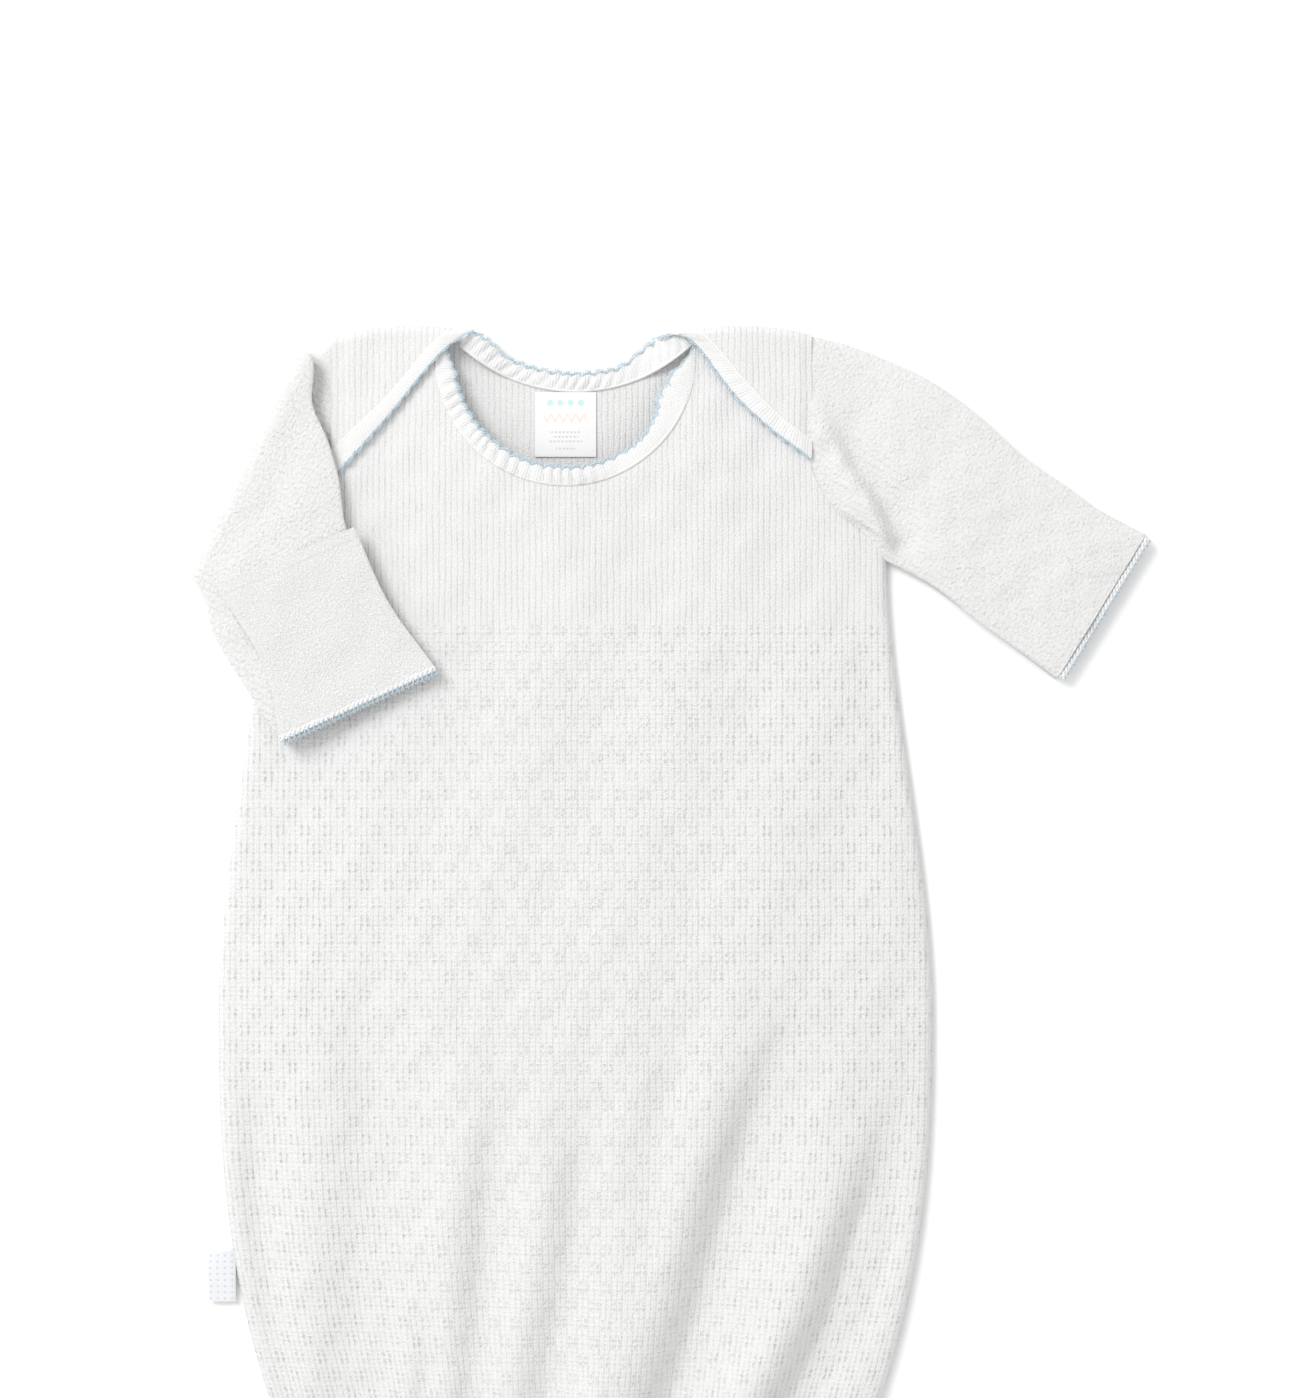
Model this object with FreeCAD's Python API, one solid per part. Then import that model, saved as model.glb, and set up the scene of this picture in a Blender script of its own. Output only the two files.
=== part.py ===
import FreeCAD, Part
import math
import os

os.makedirs("parts", exist_ok=True)
Vector = FreeCAD.Vector

# A newborn's sleeping gown with an envelope neck, lying flat on its back.
# The origin is on the back panel's rest face, on the centre line, level with the underarms.
# +X points to the wearer's left, +Y to the neck and +Z up through the front panel.

# Cloth and trim
cloth = 1.2                   # thickness of the knitted cloth
trim_height = 0.8             # how far a seam cord stands above its cloth
trim_gap = 0.15               # between a seam cord and the cloth under it
joint_gap = 0.3               # between two sewn pieces that meet edge to edge
lay_gap = 0.5                 # between two layers that lie loose on each other

# Body
chest_half = 122.0            # half the width at the underarms
skirt_half = 140.0            # half the widest width of the skirt
hem_half = 76.0               # half the width of the gathered hem
shoulder_half = 92.0          # half the width across the upper armholes
armhole_turn_y = 35.0         # where the armhole starts to curve out to the underarm
shoulder_tip_y = 81.5         # outer end of the shoulder fold
shoulder_top_y = 86.5         # highest point of the shoulder fold
widest_y = -185.0             # where the skirt is widest
hem_y = -423.0                # lower edge of the hem
hem_taper = 2.5               # how late the skirt draws in towards the hem
seam_allowance = 5.0          # width of an overlocked seam
seam_room = 1.2               # height that an overlocked seam takes between the panels

# How far the front panel stands above the seams along the centre line
shoulder_crown = 1.0
chest_crown = 5.6
skirt_crown = 9.0
chest_crown_y = 25.0
skirt_crown_start_y = -70.0
skirt_crown_y = -250.0

# Neck
front_neck_x = -3.9           # centre of the front neckline's arc, a little off the centre line
front_neck_y = 74.1
front_neck_r = 44.1           # inside edge of the front band
back_neck_y = 127.2           # centre of the back neckline's arc
back_neck_r = 59.9            # inside edge of the back band
band_width = 5.6
edging_width = 2.0
seam_width = 1.4
neck_half_angle = 41.0        # half the sweep of the back band, in degrees
front_half_angle = 86.0       # half the sweep of the front band, in degrees

# Shoulder laps: the back panel folded over the front
lap_gap = 1.3                 # between the front panel and the lap above it
lap_neck = Vector(49.5, 82.6, 0)
lap_arm = Vector(89.0, 43.5, 0)
lap_neck_slant = -0.7         # how the band runs on past the seam at its neck end
lap_arm_slant = 0.5           # and at its armhole end
lap_fold_x = 70.0             # where the shoulder fold is highest

# Sleeves: each tube starts at a fold line and runs down to the cuff
sleeve_length = 106.0
sleeve_mid = 0.45             # place of the middle section along the sleeve
sleeve_mid_width = 64.0
sleeve_bow = 3.3              # how far the middle section is bowed to one side
cuff_width = 67.6
tube_height = 7.0
left_fold_top = Vector(104.0, 78.5, 0)
left_fold_low = Vector(131.0, -12.0, 0)
left_lay_angle = -32.8
right_fold_top = Vector(-110.4, 73.7, 0)
right_fold_low = Vector(-151.7, -9.8, 0)
right_lay_angle = -63.5
sleeve_seam_width = 3.0
sleeve_seam_height = 0.8
head_gap = 0.6                # between the armhole edge and the sleeve head

# Mitts: a double layer of jersey folded back on the sleeve
mitt_length = 62.0
mitt_free_width = 59.0
mitt_thickness = 1.3
mitt_hem_width = 3.4
mitt_hinge_gap = 0.4          # between the sleeve, the hinge line and the mitt

# Hem casing and its elastic
casing_width = 11.7
casing_wall = 0.7
casing_side_height = 6.6
elastic_thickness = 0.7
elastic_width = 9.0
elastic_gap = 0.15

# Labels
neck_label_width = 24.0
neck_label_length = 25.4
neck_label_x = front_neck_x
neck_label_thickness = 0.5
side_label_width = 19.0
side_label_reach = 9.4
side_label_y = -287.0
side_label_thickness = 1.0
side_label_gap = 0.9

# Levels worked out from the layers
front_edge_z = cloth + seam_room
panel_end_y = hem_y + casing_width + joint_gap
front_top_y = shoulder_tip_y - cloth - joint_gap
front_seam_r = front_neck_r + band_width + joint_gap
back_seam_r = back_neck_r + band_width + joint_gap
neck_label_top_y = back_neck_y - back_seam_r - seam_width / 2 - joint_gap


def ramp(value, start, stop):
    """Rises smoothly from 0 at start to 1 at stop."""
    share = min(max((value - start) / (stop - start), 0.0), 1.0)
    return share * share * (3.0 - 2.0 * share)


def half_width(y):
    """Half the width of the laid-out body at height y."""
    if y > armhole_turn_y:
        return shoulder_half
    if y > 0.0:
        share = (armhole_turn_y - y) / armhole_turn_y
        return shoulder_half + (chest_half - shoulder_half) * share * share
    if y > widest_y:
        return chest_half + (skirt_half - chest_half) * ramp(y, 0.0, widest_y)
    share = (widest_y - y) / (widest_y - hem_y)
    return skirt_half - (skirt_half - hem_half) * share ** hem_taper


def crown(y):
    """Height of the front panel over the seams on the centre line."""
    chest = (chest_crown - shoulder_crown) * ramp(y, shoulder_tip_y, chest_crown_y)
    skirt = (skirt_crown - chest_crown) * ramp(y, skirt_crown_start_y, skirt_crown_y)
    return shoulder_crown + chest + skirt


def front_low(x, y):
    """Underside of the front panel."""
    share = x / half_width(min(y, 0.0))
    return front_edge_z + crown(y) * (1.0 - share * share)


def lap_low(x, y):
    """Underside of the shoulder laps."""
    return front_low(x, y) + cloth + lap_gap


def steps(start, stop, count):
    """Evenly spaced values from start to stop, both included."""
    return [start + (stop - start) * index / (count - 1) for index in range(count)]


def flat(x, y):
    return Vector(x, y, 0)


def line(first, last):
    return Part.LineSegment(first, last).toShape()


def spline(points):
    curve = Part.BSplineCurve()
    curve.interpolate(points)
    return curve.toShape()


def prism(edges, low, high):
    """Upright solid over a closed run of edges in the XY plane."""
    face = Part.Face(Part.Wire(edges))
    face.translate(Vector(0, 0, low))
    return face.extrude(Vector(0, 0, high - low))


def plate(corners, low, high):
    """Upright solid over a polygon."""
    edges = [line(corners[index - 1], corners[index]) for index in range(len(corners))]
    return prism(edges, low, high)


def draped(rows, thickness):
    """Cloth of one thickness over a grid of points on its underside."""
    surface = Part.BSplineSurface()
    surface.interpolate(rows)
    return surface.toShape().extrude(Vector(0, 0, thickness))


def draped_over(xs, ys, level, thickness):
    rows = [[Vector(x, y, level(x, y)) for y in ys] for x in xs]
    return draped(rows, thickness)


def side_edge(side, start_y, stop_y, inset):
    """Edge of the body between two heights, set in from the outline."""
    points = [flat(side * (half_width(y) - inset), y) for y in steps(start_y, stop_y, 13)]
    return spline(points)


def ends(edge):
    return edge.Vertexes[0].Point, edge.Vertexes[-1].Point


def body_outline(top_edges):
    """Closed outline of a body panel, from the panel's lower end up to the given top edges."""
    right = [side_edge(1, panel_end_y, 0.0, 0.0), side_edge(1, 0.0, shoulder_tip_y, 0.0)]
    left = [side_edge(-1, shoulder_tip_y, 0.0, 0.0), side_edge(-1, 0.0, panel_end_y, 0.0)]
    bottom = line(ends(left[1])[1], ends(right[0])[0])
    return [bottom] + right + top_edges + left


def shoulder_fold(side, inset):
    """Curve of the shoulder fold from the armhole to the neck, set in from the outline."""
    tip = flat(side * shoulder_half, shoulder_tip_y - inset)
    middle = flat(side * lap_fold_x, shoulder_top_y - inset)
    inner = flat(side * (2 * lap_fold_x - shoulder_half), shoulder_tip_y + 3.1 - inset)
    return tip, middle, inner


def back_panel():
    tip, middle, inner = shoulder_fold(1, 0.0)
    left_tip, left_middle, left_inner = shoulder_fold(-1, 0.0)
    top = [
        Part.Arc(tip, middle, inner).toShape(),
        line(inner, left_inner),
        Part.Arc(left_inner, left_middle, left_tip).toShape(),
    ]
    panel = prism(body_outline(top), 0.0, cloth)
    neck = Part.makeCylinder(back_seam_r, 4 * cloth, Vector(0, back_neck_y, -cloth))
    return panel.cut(neck)


def front_panel():
    top = [line(flat(shoulder_half, shoulder_tip_y), flat(-shoulder_half, shoulder_tip_y))]
    outline = prism(body_outline(top), 0.0, 4 * skirt_crown)
    xs = steps(-skirt_half - cloth, skirt_half + cloth, 15)
    ys = steps(panel_end_y - cloth, shoulder_top_y, 49)
    slab = draped_over(xs, ys, front_low, cloth)
    neck = Part.makeCylinder(front_seam_r, 4 * skirt_crown, flat(front_neck_x, front_neck_y))
    head_room = plate(
        [
            flat(-2 * shoulder_half, front_top_y),
            flat(2 * shoulder_half, front_top_y),
            flat(2 * shoulder_half, 2 * shoulder_top_y),
            flat(-2 * shoulder_half, 2 * shoulder_top_y),
        ],
        -cloth,
        4 * skirt_crown,
    )
    return slab.common(outline).cut(neck).cut(head_room)


def seam_strip(side, start_y, stop_y):
    """Overlocked seam allowance between the two panels, along one edge."""
    outer = side_edge(side, start_y, stop_y, joint_gap)
    inner = side_edge(side, start_y, stop_y, joint_gap + seam_allowance)
    outer_first, outer_last = ends(outer)
    inner_first, inner_last = ends(inner)
    edges = [outer, line(outer_last, inner_last), inner.reversed(), line(inner_first, outer_first)]
    return prism(edges, cloth, front_edge_z)


def front_strip(inner_r, outer_r, level, thickness):
    """Strip of trim around the front neckline, laid on a surface."""
    rows = []
    for radius in steps(inner_r, outer_r, 4):
        row = []
        for angle in steps(-front_half_angle, front_half_angle, 17):
            x = front_neck_x + radius * math.sin(math.radians(angle))
            y = front_neck_y - radius * math.cos(math.radians(angle))
            row.append(Vector(x, y, level(x, y)))
        rows.append(row)
    return draped(rows, thickness)


def back_strip(inner_r, outer_r, low, high):
    """Flat ring sector around the back neckline."""
    start = 270.0 - neck_half_angle
    stop = 270.0 + neck_half_angle
    axis = Vector(0, 0, 1)
    centre = flat(0, back_neck_y)
    outer = Part.makeCircle(outer_r, centre, axis, start, stop)
    inner = Part.makeCircle(inner_r, centre, axis, start, stop)
    outer_first, outer_last = ends(outer)
    inner_first, inner_last = ends(inner)
    edges = [outer, line(outer_last, inner_last), inner.reversed(), line(inner_first, outer_first)]
    return prism(edges, low, high)


def mirrored(point, side):
    return Vector(side * point.x, point.y, point.z)


def lap_point(side, along, offset):
    """Point beside a lap's band seam: along it from the neck, and out from it."""
    run = (lap_arm - lap_neck).normalize()
    out = Vector(run.y, -run.x, 0)
    return mirrored(lap_neck + run * along + out * offset, side)


def lap_strip(side, first, last, level, thickness):
    """Strip of trim beside a lap's band seam, between two distances out from it."""
    length = (lap_arm - lap_neck).Length
    rows = []
    for offset in steps(first, last, 4):
        row = []
        for along in steps(lap_neck_slant * offset, length + lap_arm_slant * offset, 9):
            point = lap_point(side, along, offset)
            row.append(Vector(point.x, point.y, level(point.x, point.y)))
        rows.append(row)
    return draped(rows, thickness)


def shoulder_lap(side):
    """Lap over the front panel, with the fold that joins it to the back panel."""
    tip, middle, inner = shoulder_fold(side, 0.0)
    low_tip, low_middle, low_inner = shoulder_fold(side, cloth)
    neck = mirrored(lap_neck, side)
    arm = mirrored(lap_arm, side)
    arm_edge = flat(side * shoulder_half, lap_arm.y - (shoulder_half - lap_arm.x))
    top = Part.Arc(low_tip, low_middle, low_inner).toShape()
    edges = [line(arm_edge, low_tip), top, line(low_inner, neck), line(neck, arm), line(arm, arm_edge)]
    outline = prism(edges, 0.0, 4 * skirt_crown)
    xs = steps(side * 20.0, side * 1.2 * shoulder_half, 9)
    ys = steps(0.0, shoulder_top_y + 10.0, 11)
    lap = draped_over(xs, ys, lap_low, cloth).common(outline)
    fold_edges = [
        Part.Arc(tip, middle, inner).toShape(),
        line(inner, low_inner),
        Part.Arc(low_inner, low_middle, low_tip).toShape(),
        line(low_tip, tip),
    ]
    fold_top = lap_low(lap_fold_x, shoulder_tip_y) + cloth
    fold = prism(fold_edges, cloth, fold_top)
    neck_clear = Part.makeCylinder(back_seam_r, 4 * skirt_crown, Vector(0, back_neck_y, -cloth))
    return lap.fuse(fold).cut(neck_clear)


def unit(angle):
    return flat(math.cos(math.radians(angle)), math.sin(math.radians(angle)))


def across(run):
    """Level direction square to a run, to its left."""
    return Vector(-run.y, run.x, 0)


def flat_oval(first, last, low, high):
    """Upright flattened oval between two plan points."""
    radius = (high - low) / 2
    run = (last - first).normalize()
    start = first + run * radius
    stop = last - run * radius
    middle = Vector(0, 0, (low + high) / 2)
    up = Vector(0, 0, high)
    down = Vector(0, 0, low)
    return Part.Wire([
        line(start + down, stop + down),
        Part.Arc(stop + down, last + middle, stop + up).toShape(),
        line(stop + up, start + up),
        Part.Arc(start + up, first + middle, start + down).toShape(),
    ])


def sleeve_sections(fold_top, fold_low, lay_angle, bow):
    """Plan points of the fold, the middle and the cuff, as pairs across the sleeve."""
    run = unit(lay_angle)
    cross = across(run)
    start = (fold_top + fold_low) * 0.5
    middle = start + run * (sleeve_length * sleeve_mid) + cross * bow
    end = start + run * sleeve_length
    return [
        (fold_top, fold_low),
        (middle + cross * (sleeve_mid_width / 2), middle - cross * (sleeve_mid_width / 2)),
        (end + cross * (cuff_width / 2), end - cross * (cuff_width / 2)),
    ]


def sleeve_tube(sections, low):
    """Hollow flattened sleeve through its sections, open at both ends."""
    outer = [flat_oval(first, last, low, low + tube_height) for first, last in sections]
    inner = []
    for first, last in sections:
        inset = (last - first).normalize() * cloth
        inner.append(flat_oval(first + inset, last - inset, low + cloth, low + tube_height - cloth))
    return Part.makeLoft(outer, True, True).cut(Part.makeLoft(inner, True, True))


def sleeve_seam(sections, low):
    """Seam allowance inside the sleeve, along its underarm edge."""
    level = low + tube_height / 2 - sleeve_seam_height / 2
    near = []
    far = []
    for first, last in sections:
        run = (first - last).normalize()
        near.append(last + run * (cloth + joint_gap))
        far.append(last + run * (cloth + joint_gap + sleeve_seam_width))
    return plate(near + far[::-1], level, level + sleeve_seam_height)


def sleeve_head(side, fold_top, fold_low, height):
    """Part of the sleeve between the armhole and its fold line, hollow for the arm."""
    arm_edge = side_edge(side, 0.0, shoulder_tip_y, -head_gap)
    low_point, top_point = ends(arm_edge)
    edges = [arm_edge, line(top_point, fold_top), line(fold_top, fold_low), line(fold_low, low_point)]
    shell = prism(edges, 0.0, height)
    top_run = (fold_top - top_point).normalize()
    low_run = (fold_low - low_point).normalize()
    top_in = across(top_run) * (-side * cloth)
    low_in = across(low_run) * (side * cloth)
    reach = 2 * tube_height
    inside_x = side * (shoulder_half - reach)
    hollow = plate(
        [
            flat(inside_x, top_point.y) + top_in,
            top_point + top_in,
            fold_top + top_run * reach + top_in,
            fold_low + low_run * reach + low_in,
            low_point + low_in,
            flat(inside_x, low_point.y) + low_in,
        ],
        cloth,
        height - cloth,
    )
    return shell.cut(hollow)


def cuff_plate(sections, lay_angle, stations, low, high):
    """Plate beside the cuff: stations are pairs of distance beyond the cuff and half width."""
    run = unit(lay_angle)
    cross = across(run)
    end = (sections[-1][0] + sections[-1][1]) * 0.5
    (first, first_half), (last, last_half) = stations
    corners = [
        end + run * first - cross * first_half,
        end + run * last - cross * last_half,
        end + run * last + cross * last_half,
        end + run * first + cross * first_half,
    ]
    return plate(corners, low, high)


def mitt_half_width(distance):
    """Half width of the mitt at a distance back from the fold at the cuff."""
    return (cuff_width + (mitt_free_width - cuff_width) * distance / mitt_length) / 2


def mitt_piece(sections, lay_angle, near, far, low):
    stations = [(-far, mitt_half_width(far)), (-near, mitt_half_width(near))]
    return cuff_plate(sections, lay_angle, stations, low, low + mitt_thickness)


def hem_profile(inset):
    """Edges of the gathered hem's cross-section, set in from the outside."""
    half = half_width(panel_end_y) - inset
    side_z = casing_side_height - inset
    top_z = front_low(0.0, panel_end_y) + cloth - inset
    corners = [Vector(-half, 0, inset), Vector(half, 0, inset), Vector(half, 0, side_z)]
    left_side = Vector(-half, 0, side_z)
    return [
        line(corners[0], corners[1]),
        line(corners[1], corners[2]),
        Part.Arc(corners[2], Vector(0, 0, top_z), left_side).toShape(),
        line(left_side, corners[0]),
    ]


def hem_ring(outer_inset, inner_inset, low_y, high_y):
    """Ring of the hem's shape between two insets and two heights."""
    outer = Part.Face(Part.Wire(hem_profile(outer_inset)))
    inner = Part.Face(Part.Wire(hem_profile(inner_inset)))
    ring = outer.cut(inner)
    ring.translate(flat(0, low_y))
    return ring.extrude(Vector(0, high_y - low_y, 0))


def hem_casing():
    """Hem folded up around the elastic, with its fold at the lower edge."""
    channel = elastic_thickness + 2 * elastic_gap
    whole = hem_ring(0.0, 2 * casing_wall + channel, hem_y, hem_y + casing_width)
    slot = hem_ring(casing_wall, casing_wall + channel, hem_y + casing_wall, hem_y + 2 * casing_width)
    return whole.cut(slot)


def hem_elastic():
    low_y = hem_y + casing_wall + elastic_gap
    inset = casing_wall + elastic_gap
    return hem_ring(inset, inset + elastic_thickness, low_y, low_y + elastic_width)


def neck_label():
    top_y = neck_label_top_y
    half = neck_label_width / 2
    corners = [
        flat(neck_label_x - half, top_y - neck_label_length),
        flat(neck_label_x + half, top_y - neck_label_length),
        flat(neck_label_x + half, top_y),
        flat(neck_label_x - half, top_y),
    ]
    return plate(corners, cloth + trim_gap, cloth + trim_gap + neck_label_thickness)


def side_label():
    top_y = side_label_y + side_label_width / 2
    low_y = side_label_y - side_label_width / 2
    inner_x = -(half_width(top_y) + side_label_gap)
    corners = [
        flat(inner_x - side_label_reach, low_y),
        flat(inner_x, low_y),
        flat(inner_x, top_y),
        flat(inner_x - side_label_reach, top_y),
    ]
    return plate(corners, cloth, cloth + side_label_thickness)


def over_front(x, y):
    return front_low(x, y) + cloth + trim_gap


def over_lap(x, y):
    return lap_low(x, y) + cloth + trim_gap


left_sections = sleeve_sections(left_fold_top, left_fold_low, left_lay_angle, sleeve_bow)
right_sections = sleeve_sections(right_fold_top, right_fold_low, right_lay_angle, -sleeve_bow)

# The left sleeve lies out on the surface, on top of its own mitt
left_sleeve_z = mitt_thickness + mitt_hinge_gap
left_mitt_z = 0.0
left_head_height = left_sleeve_z + tube_height - lay_gap

# The right sleeve is folded over the chest and lies on the front panel, with its mitt on top.
# Its inner cuff corner is where the front panel under it is highest.
right_cuff_inner = right_sections[-1][0]
right_sleeve_z = front_low(right_cuff_inner.x, right_cuff_inner.y) + cloth + lay_gap
right_mitt_z = right_sleeve_z + tube_height + mitt_hinge_gap
right_head_height = right_sleeve_z - 2 * lay_gap

cuff_trim_half = cuff_width / 2 - tube_height / 2
cuff_trim_span = [(joint_gap, cuff_trim_half), (joint_gap + edging_width, cuff_trim_half)]
mitt_trim_near = mitt_hinge_gap
mitt_trim_far = mitt_trim_near + edging_width
mitt_cloth_far = mitt_length - mitt_hem_width - joint_gap

nodes = {
    "back_panel": back_panel(),
    "front_panel": front_panel(),
    "back_neck_band": back_strip(back_neck_r, back_seam_r - joint_gap, 0.0, cloth),
    "back_neck_edging": back_strip(
        back_neck_r - joint_gap - edging_width, back_neck_r - joint_gap, 0.0, cloth),
    "back_neck_seam": back_strip(
        back_seam_r - seam_width / 2, back_seam_r + seam_width / 2 - joint_gap,
        cloth, cloth + trim_height),
    "front_neck_band": front_strip(front_neck_r, front_seam_r - joint_gap, front_low, cloth),
    "front_neck_edging": front_strip(
        front_neck_r - joint_gap - edging_width, front_neck_r - joint_gap, front_low, cloth),
    "front_neck_seam": front_strip(
        front_seam_r - seam_width / 2, front_seam_r + seam_width / 2, over_front, trim_height),
    "hem_casing": hem_casing(),
    "hem_elastic": hem_elastic(),
    "neck_label": neck_label(),
    "side_label": side_label(),
}

for name, side in (("left", 1), ("right", -1)):
    nodes[name + "_side_seam"] = seam_strip(side, panel_end_y, -joint_gap)
    nodes[name + "_armhole_seam"] = seam_strip(side, joint_gap, front_top_y)
    nodes[name + "_shoulder_lap"] = shoulder_lap(side)
    nodes[name + "_lap_seam"] = lap_strip(side, -joint_gap - seam_width, -joint_gap, over_lap, trim_height)
    nodes[name + "_lap_band"] = lap_strip(side, joint_gap, band_width, lap_low, cloth)
    nodes[name + "_lap_edging"] = lap_strip(
        side, band_width + joint_gap, band_width + joint_gap + edging_width, lap_low, cloth)

sleeves = (
    ("left", 1, left_sections, left_lay_angle, left_sleeve_z, left_mitt_z, left_head_height,
     left_sleeve_z + tube_height - cloth),
    ("right", -1, right_sections, right_lay_angle, right_sleeve_z, right_mitt_z, right_head_height,
     right_sleeve_z),
)
for name, side, sections, lay_angle, low, mitt_low, head_height, trim_low in sleeves:
    fold_top, fold_low = sections[0]
    nodes[name + "_sleeve_head"] = sleeve_head(side, fold_top, fold_low, head_height)
    nodes[name + "_sleeve"] = sleeve_tube(sections, low)
    nodes[name + "_sleeve_seam"] = sleeve_seam(sections, low)
    nodes[name + "_sleeve_edging"] = cuff_plate(
        sections, lay_angle, cuff_trim_span, trim_low, trim_low + cloth)
    nodes[name + "_mitt"] = mitt_piece(
        sections, lay_angle, mitt_trim_far + joint_gap, mitt_cloth_far, mitt_low)
    nodes[name + "_mitt_edging"] = mitt_piece(
        sections, lay_angle, mitt_trim_near, mitt_trim_far, mitt_low)
    nodes[name + "_mitt_hem"] = mitt_piece(
        sections, lay_angle, mitt_length - mitt_hem_width, mitt_length, mitt_low)

for name, shape in nodes.items():
    shape.exportStep("parts/" + name + ".step")
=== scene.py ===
import math

import bmesh
import bpy
import numpy as np
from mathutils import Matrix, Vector


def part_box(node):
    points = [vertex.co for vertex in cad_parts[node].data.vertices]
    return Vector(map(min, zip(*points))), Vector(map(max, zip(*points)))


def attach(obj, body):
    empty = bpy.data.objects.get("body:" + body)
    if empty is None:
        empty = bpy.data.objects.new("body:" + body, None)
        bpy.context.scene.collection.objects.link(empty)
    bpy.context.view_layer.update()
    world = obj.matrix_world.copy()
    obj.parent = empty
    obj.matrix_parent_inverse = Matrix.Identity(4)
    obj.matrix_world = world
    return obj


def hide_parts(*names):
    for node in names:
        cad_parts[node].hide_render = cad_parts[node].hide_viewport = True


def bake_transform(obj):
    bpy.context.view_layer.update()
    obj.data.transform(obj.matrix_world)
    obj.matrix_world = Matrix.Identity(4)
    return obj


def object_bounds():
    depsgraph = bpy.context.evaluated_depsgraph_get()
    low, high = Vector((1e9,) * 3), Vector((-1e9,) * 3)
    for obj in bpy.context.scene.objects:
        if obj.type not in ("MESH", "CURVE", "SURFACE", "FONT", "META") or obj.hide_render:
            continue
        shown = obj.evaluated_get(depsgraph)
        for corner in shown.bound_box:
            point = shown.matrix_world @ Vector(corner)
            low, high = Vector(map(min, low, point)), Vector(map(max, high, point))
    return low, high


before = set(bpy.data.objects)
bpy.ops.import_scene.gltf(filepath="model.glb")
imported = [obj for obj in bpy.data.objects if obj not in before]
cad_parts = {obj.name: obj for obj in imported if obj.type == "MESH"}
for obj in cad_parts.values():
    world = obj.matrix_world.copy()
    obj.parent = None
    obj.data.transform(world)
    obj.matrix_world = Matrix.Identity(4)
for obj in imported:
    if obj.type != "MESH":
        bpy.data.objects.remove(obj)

# The gown lies flat on its back on a plain pale floor, under one large soft light at the upper
# left and an even white room. All sizes of the gown are in millimetres until a mesh is made.
cad_box = [list(corner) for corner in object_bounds()]
millimetre = 0.001


class Shade:
    """One value of a finish. Arithmetic on it adds Math nodes."""

    def __init__(self, finish, socket):
        self.finish = finish
        self.socket = socket

    def math(self, operation, *values):
        return self.finish.add("ShaderNodeMath", {"operation": operation}, dict(enumerate(values)))

    def __add__(self, other):
        return self.math("ADD", self, other)

    __radd__ = __add__

    def __sub__(self, other):
        return self.math("SUBTRACT", self, other)

    def __rsub__(self, other):
        return self.math("SUBTRACT", other, self)

    def __mul__(self, other):
        return self.math("MULTIPLY", self, other)

    __rmul__ = __mul__

    def __truediv__(self, other):
        return self.math("DIVIDE", self, other)

    def __mod__(self, other):
        return self.math("FLOORED_MODULO", self, other)

    def __pow__(self, other):
        return self.math("POWER", self, other)

    def __abs__(self):
        return self.math("ABSOLUTE", self)

    def floor(self):
        return self.math("FLOOR", self)

    def wave(self, pitch):
        """Rises and falls between 0 and 1, once for each pitch."""
        return self.math("COSINE", self * (2 * math.pi / pitch)) * 0.5 + 0.5

    def between(self, low, high):
        """Rises smoothly from 0 at low to 1 at high."""
        settings = {"interpolation_type": "SMOOTHSTEP"}
        return self.finish.add("ShaderNodeMapRange", settings, {0: self, 1: low, 2: high, 3: 0.0, 4: 1.0})


class Finish:
    """A finish of the gown or the floor: one shader and the nodes that feed it."""

    def __init__(self, name, **plain):
        self.material = bpy.data.materials.new(name)
        self.material.use_nodes = True
        self.tree = self.material.node_tree
        self.tree.nodes.clear()
        self.shader = self.tree.nodes.new("ShaderNodeBsdfPrincipled")
        output = self.tree.nodes.new("ShaderNodeOutputMaterial")
        self.tree.links.new(self.shader.outputs[0], output.inputs[0])
        for socket, value in plain.items():
            self.shader.inputs[socket.replace("_", " ")].default_value = value

    def add(self, kind, settings, sockets, out=0):
        node = self.tree.nodes.new(kind)
        for name, value in settings.items():
            setattr(node, name, value)
        for name, value in sockets.items():
            self.feed(node.inputs[name], value)
        return Shade(self, node.outputs[out])

    def feed(self, socket, value):
        if isinstance(value, Shade):
            self.tree.links.new(value.socket, socket)
        else:
            socket.default_value = value

    def mix(self, share, first, second):
        return self.add("ShaderNodeMix", {"data_type": "RGBA"}, {0: share, 6: first, 7: second}, 2)

    def place(self):
        """Where a point lies in the cloth, in millimetres: across the ribs and along them."""
        grain = self.add("ShaderNodeAttribute", {"attribute_name": "grain"}, {}, 1)
        parts = [self.add("ShaderNodeSeparateXYZ", {}, {0: grain}, axis) for axis in (0, 1)]
        return parts[0], parts[1]

    def speckle(self, across, along, size, stretch=1.0, detail=2.0):
        """Fine unevenness of about 0.5, over a size in millimetres."""
        point = self.add("ShaderNodeCombineXYZ", {}, {0: across / size, 1: along / (size * stretch)})
        return self.add("ShaderNodeTexNoise", {}, {"Vector": point, "Scale": 1.0, "Detail": detail})

    def cover(self, colour, height):
        """Colour and relief of the surface, with the relief's height in millimetres."""
        self.feed(self.shader.inputs["Base Color"], colour)
        bump = self.add("ShaderNodeBump", {}, {"Strength": 1.0, "Distance": millimetre, "Height": height})
        self.feed(self.shader.inputs["Normal"], bump)


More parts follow.
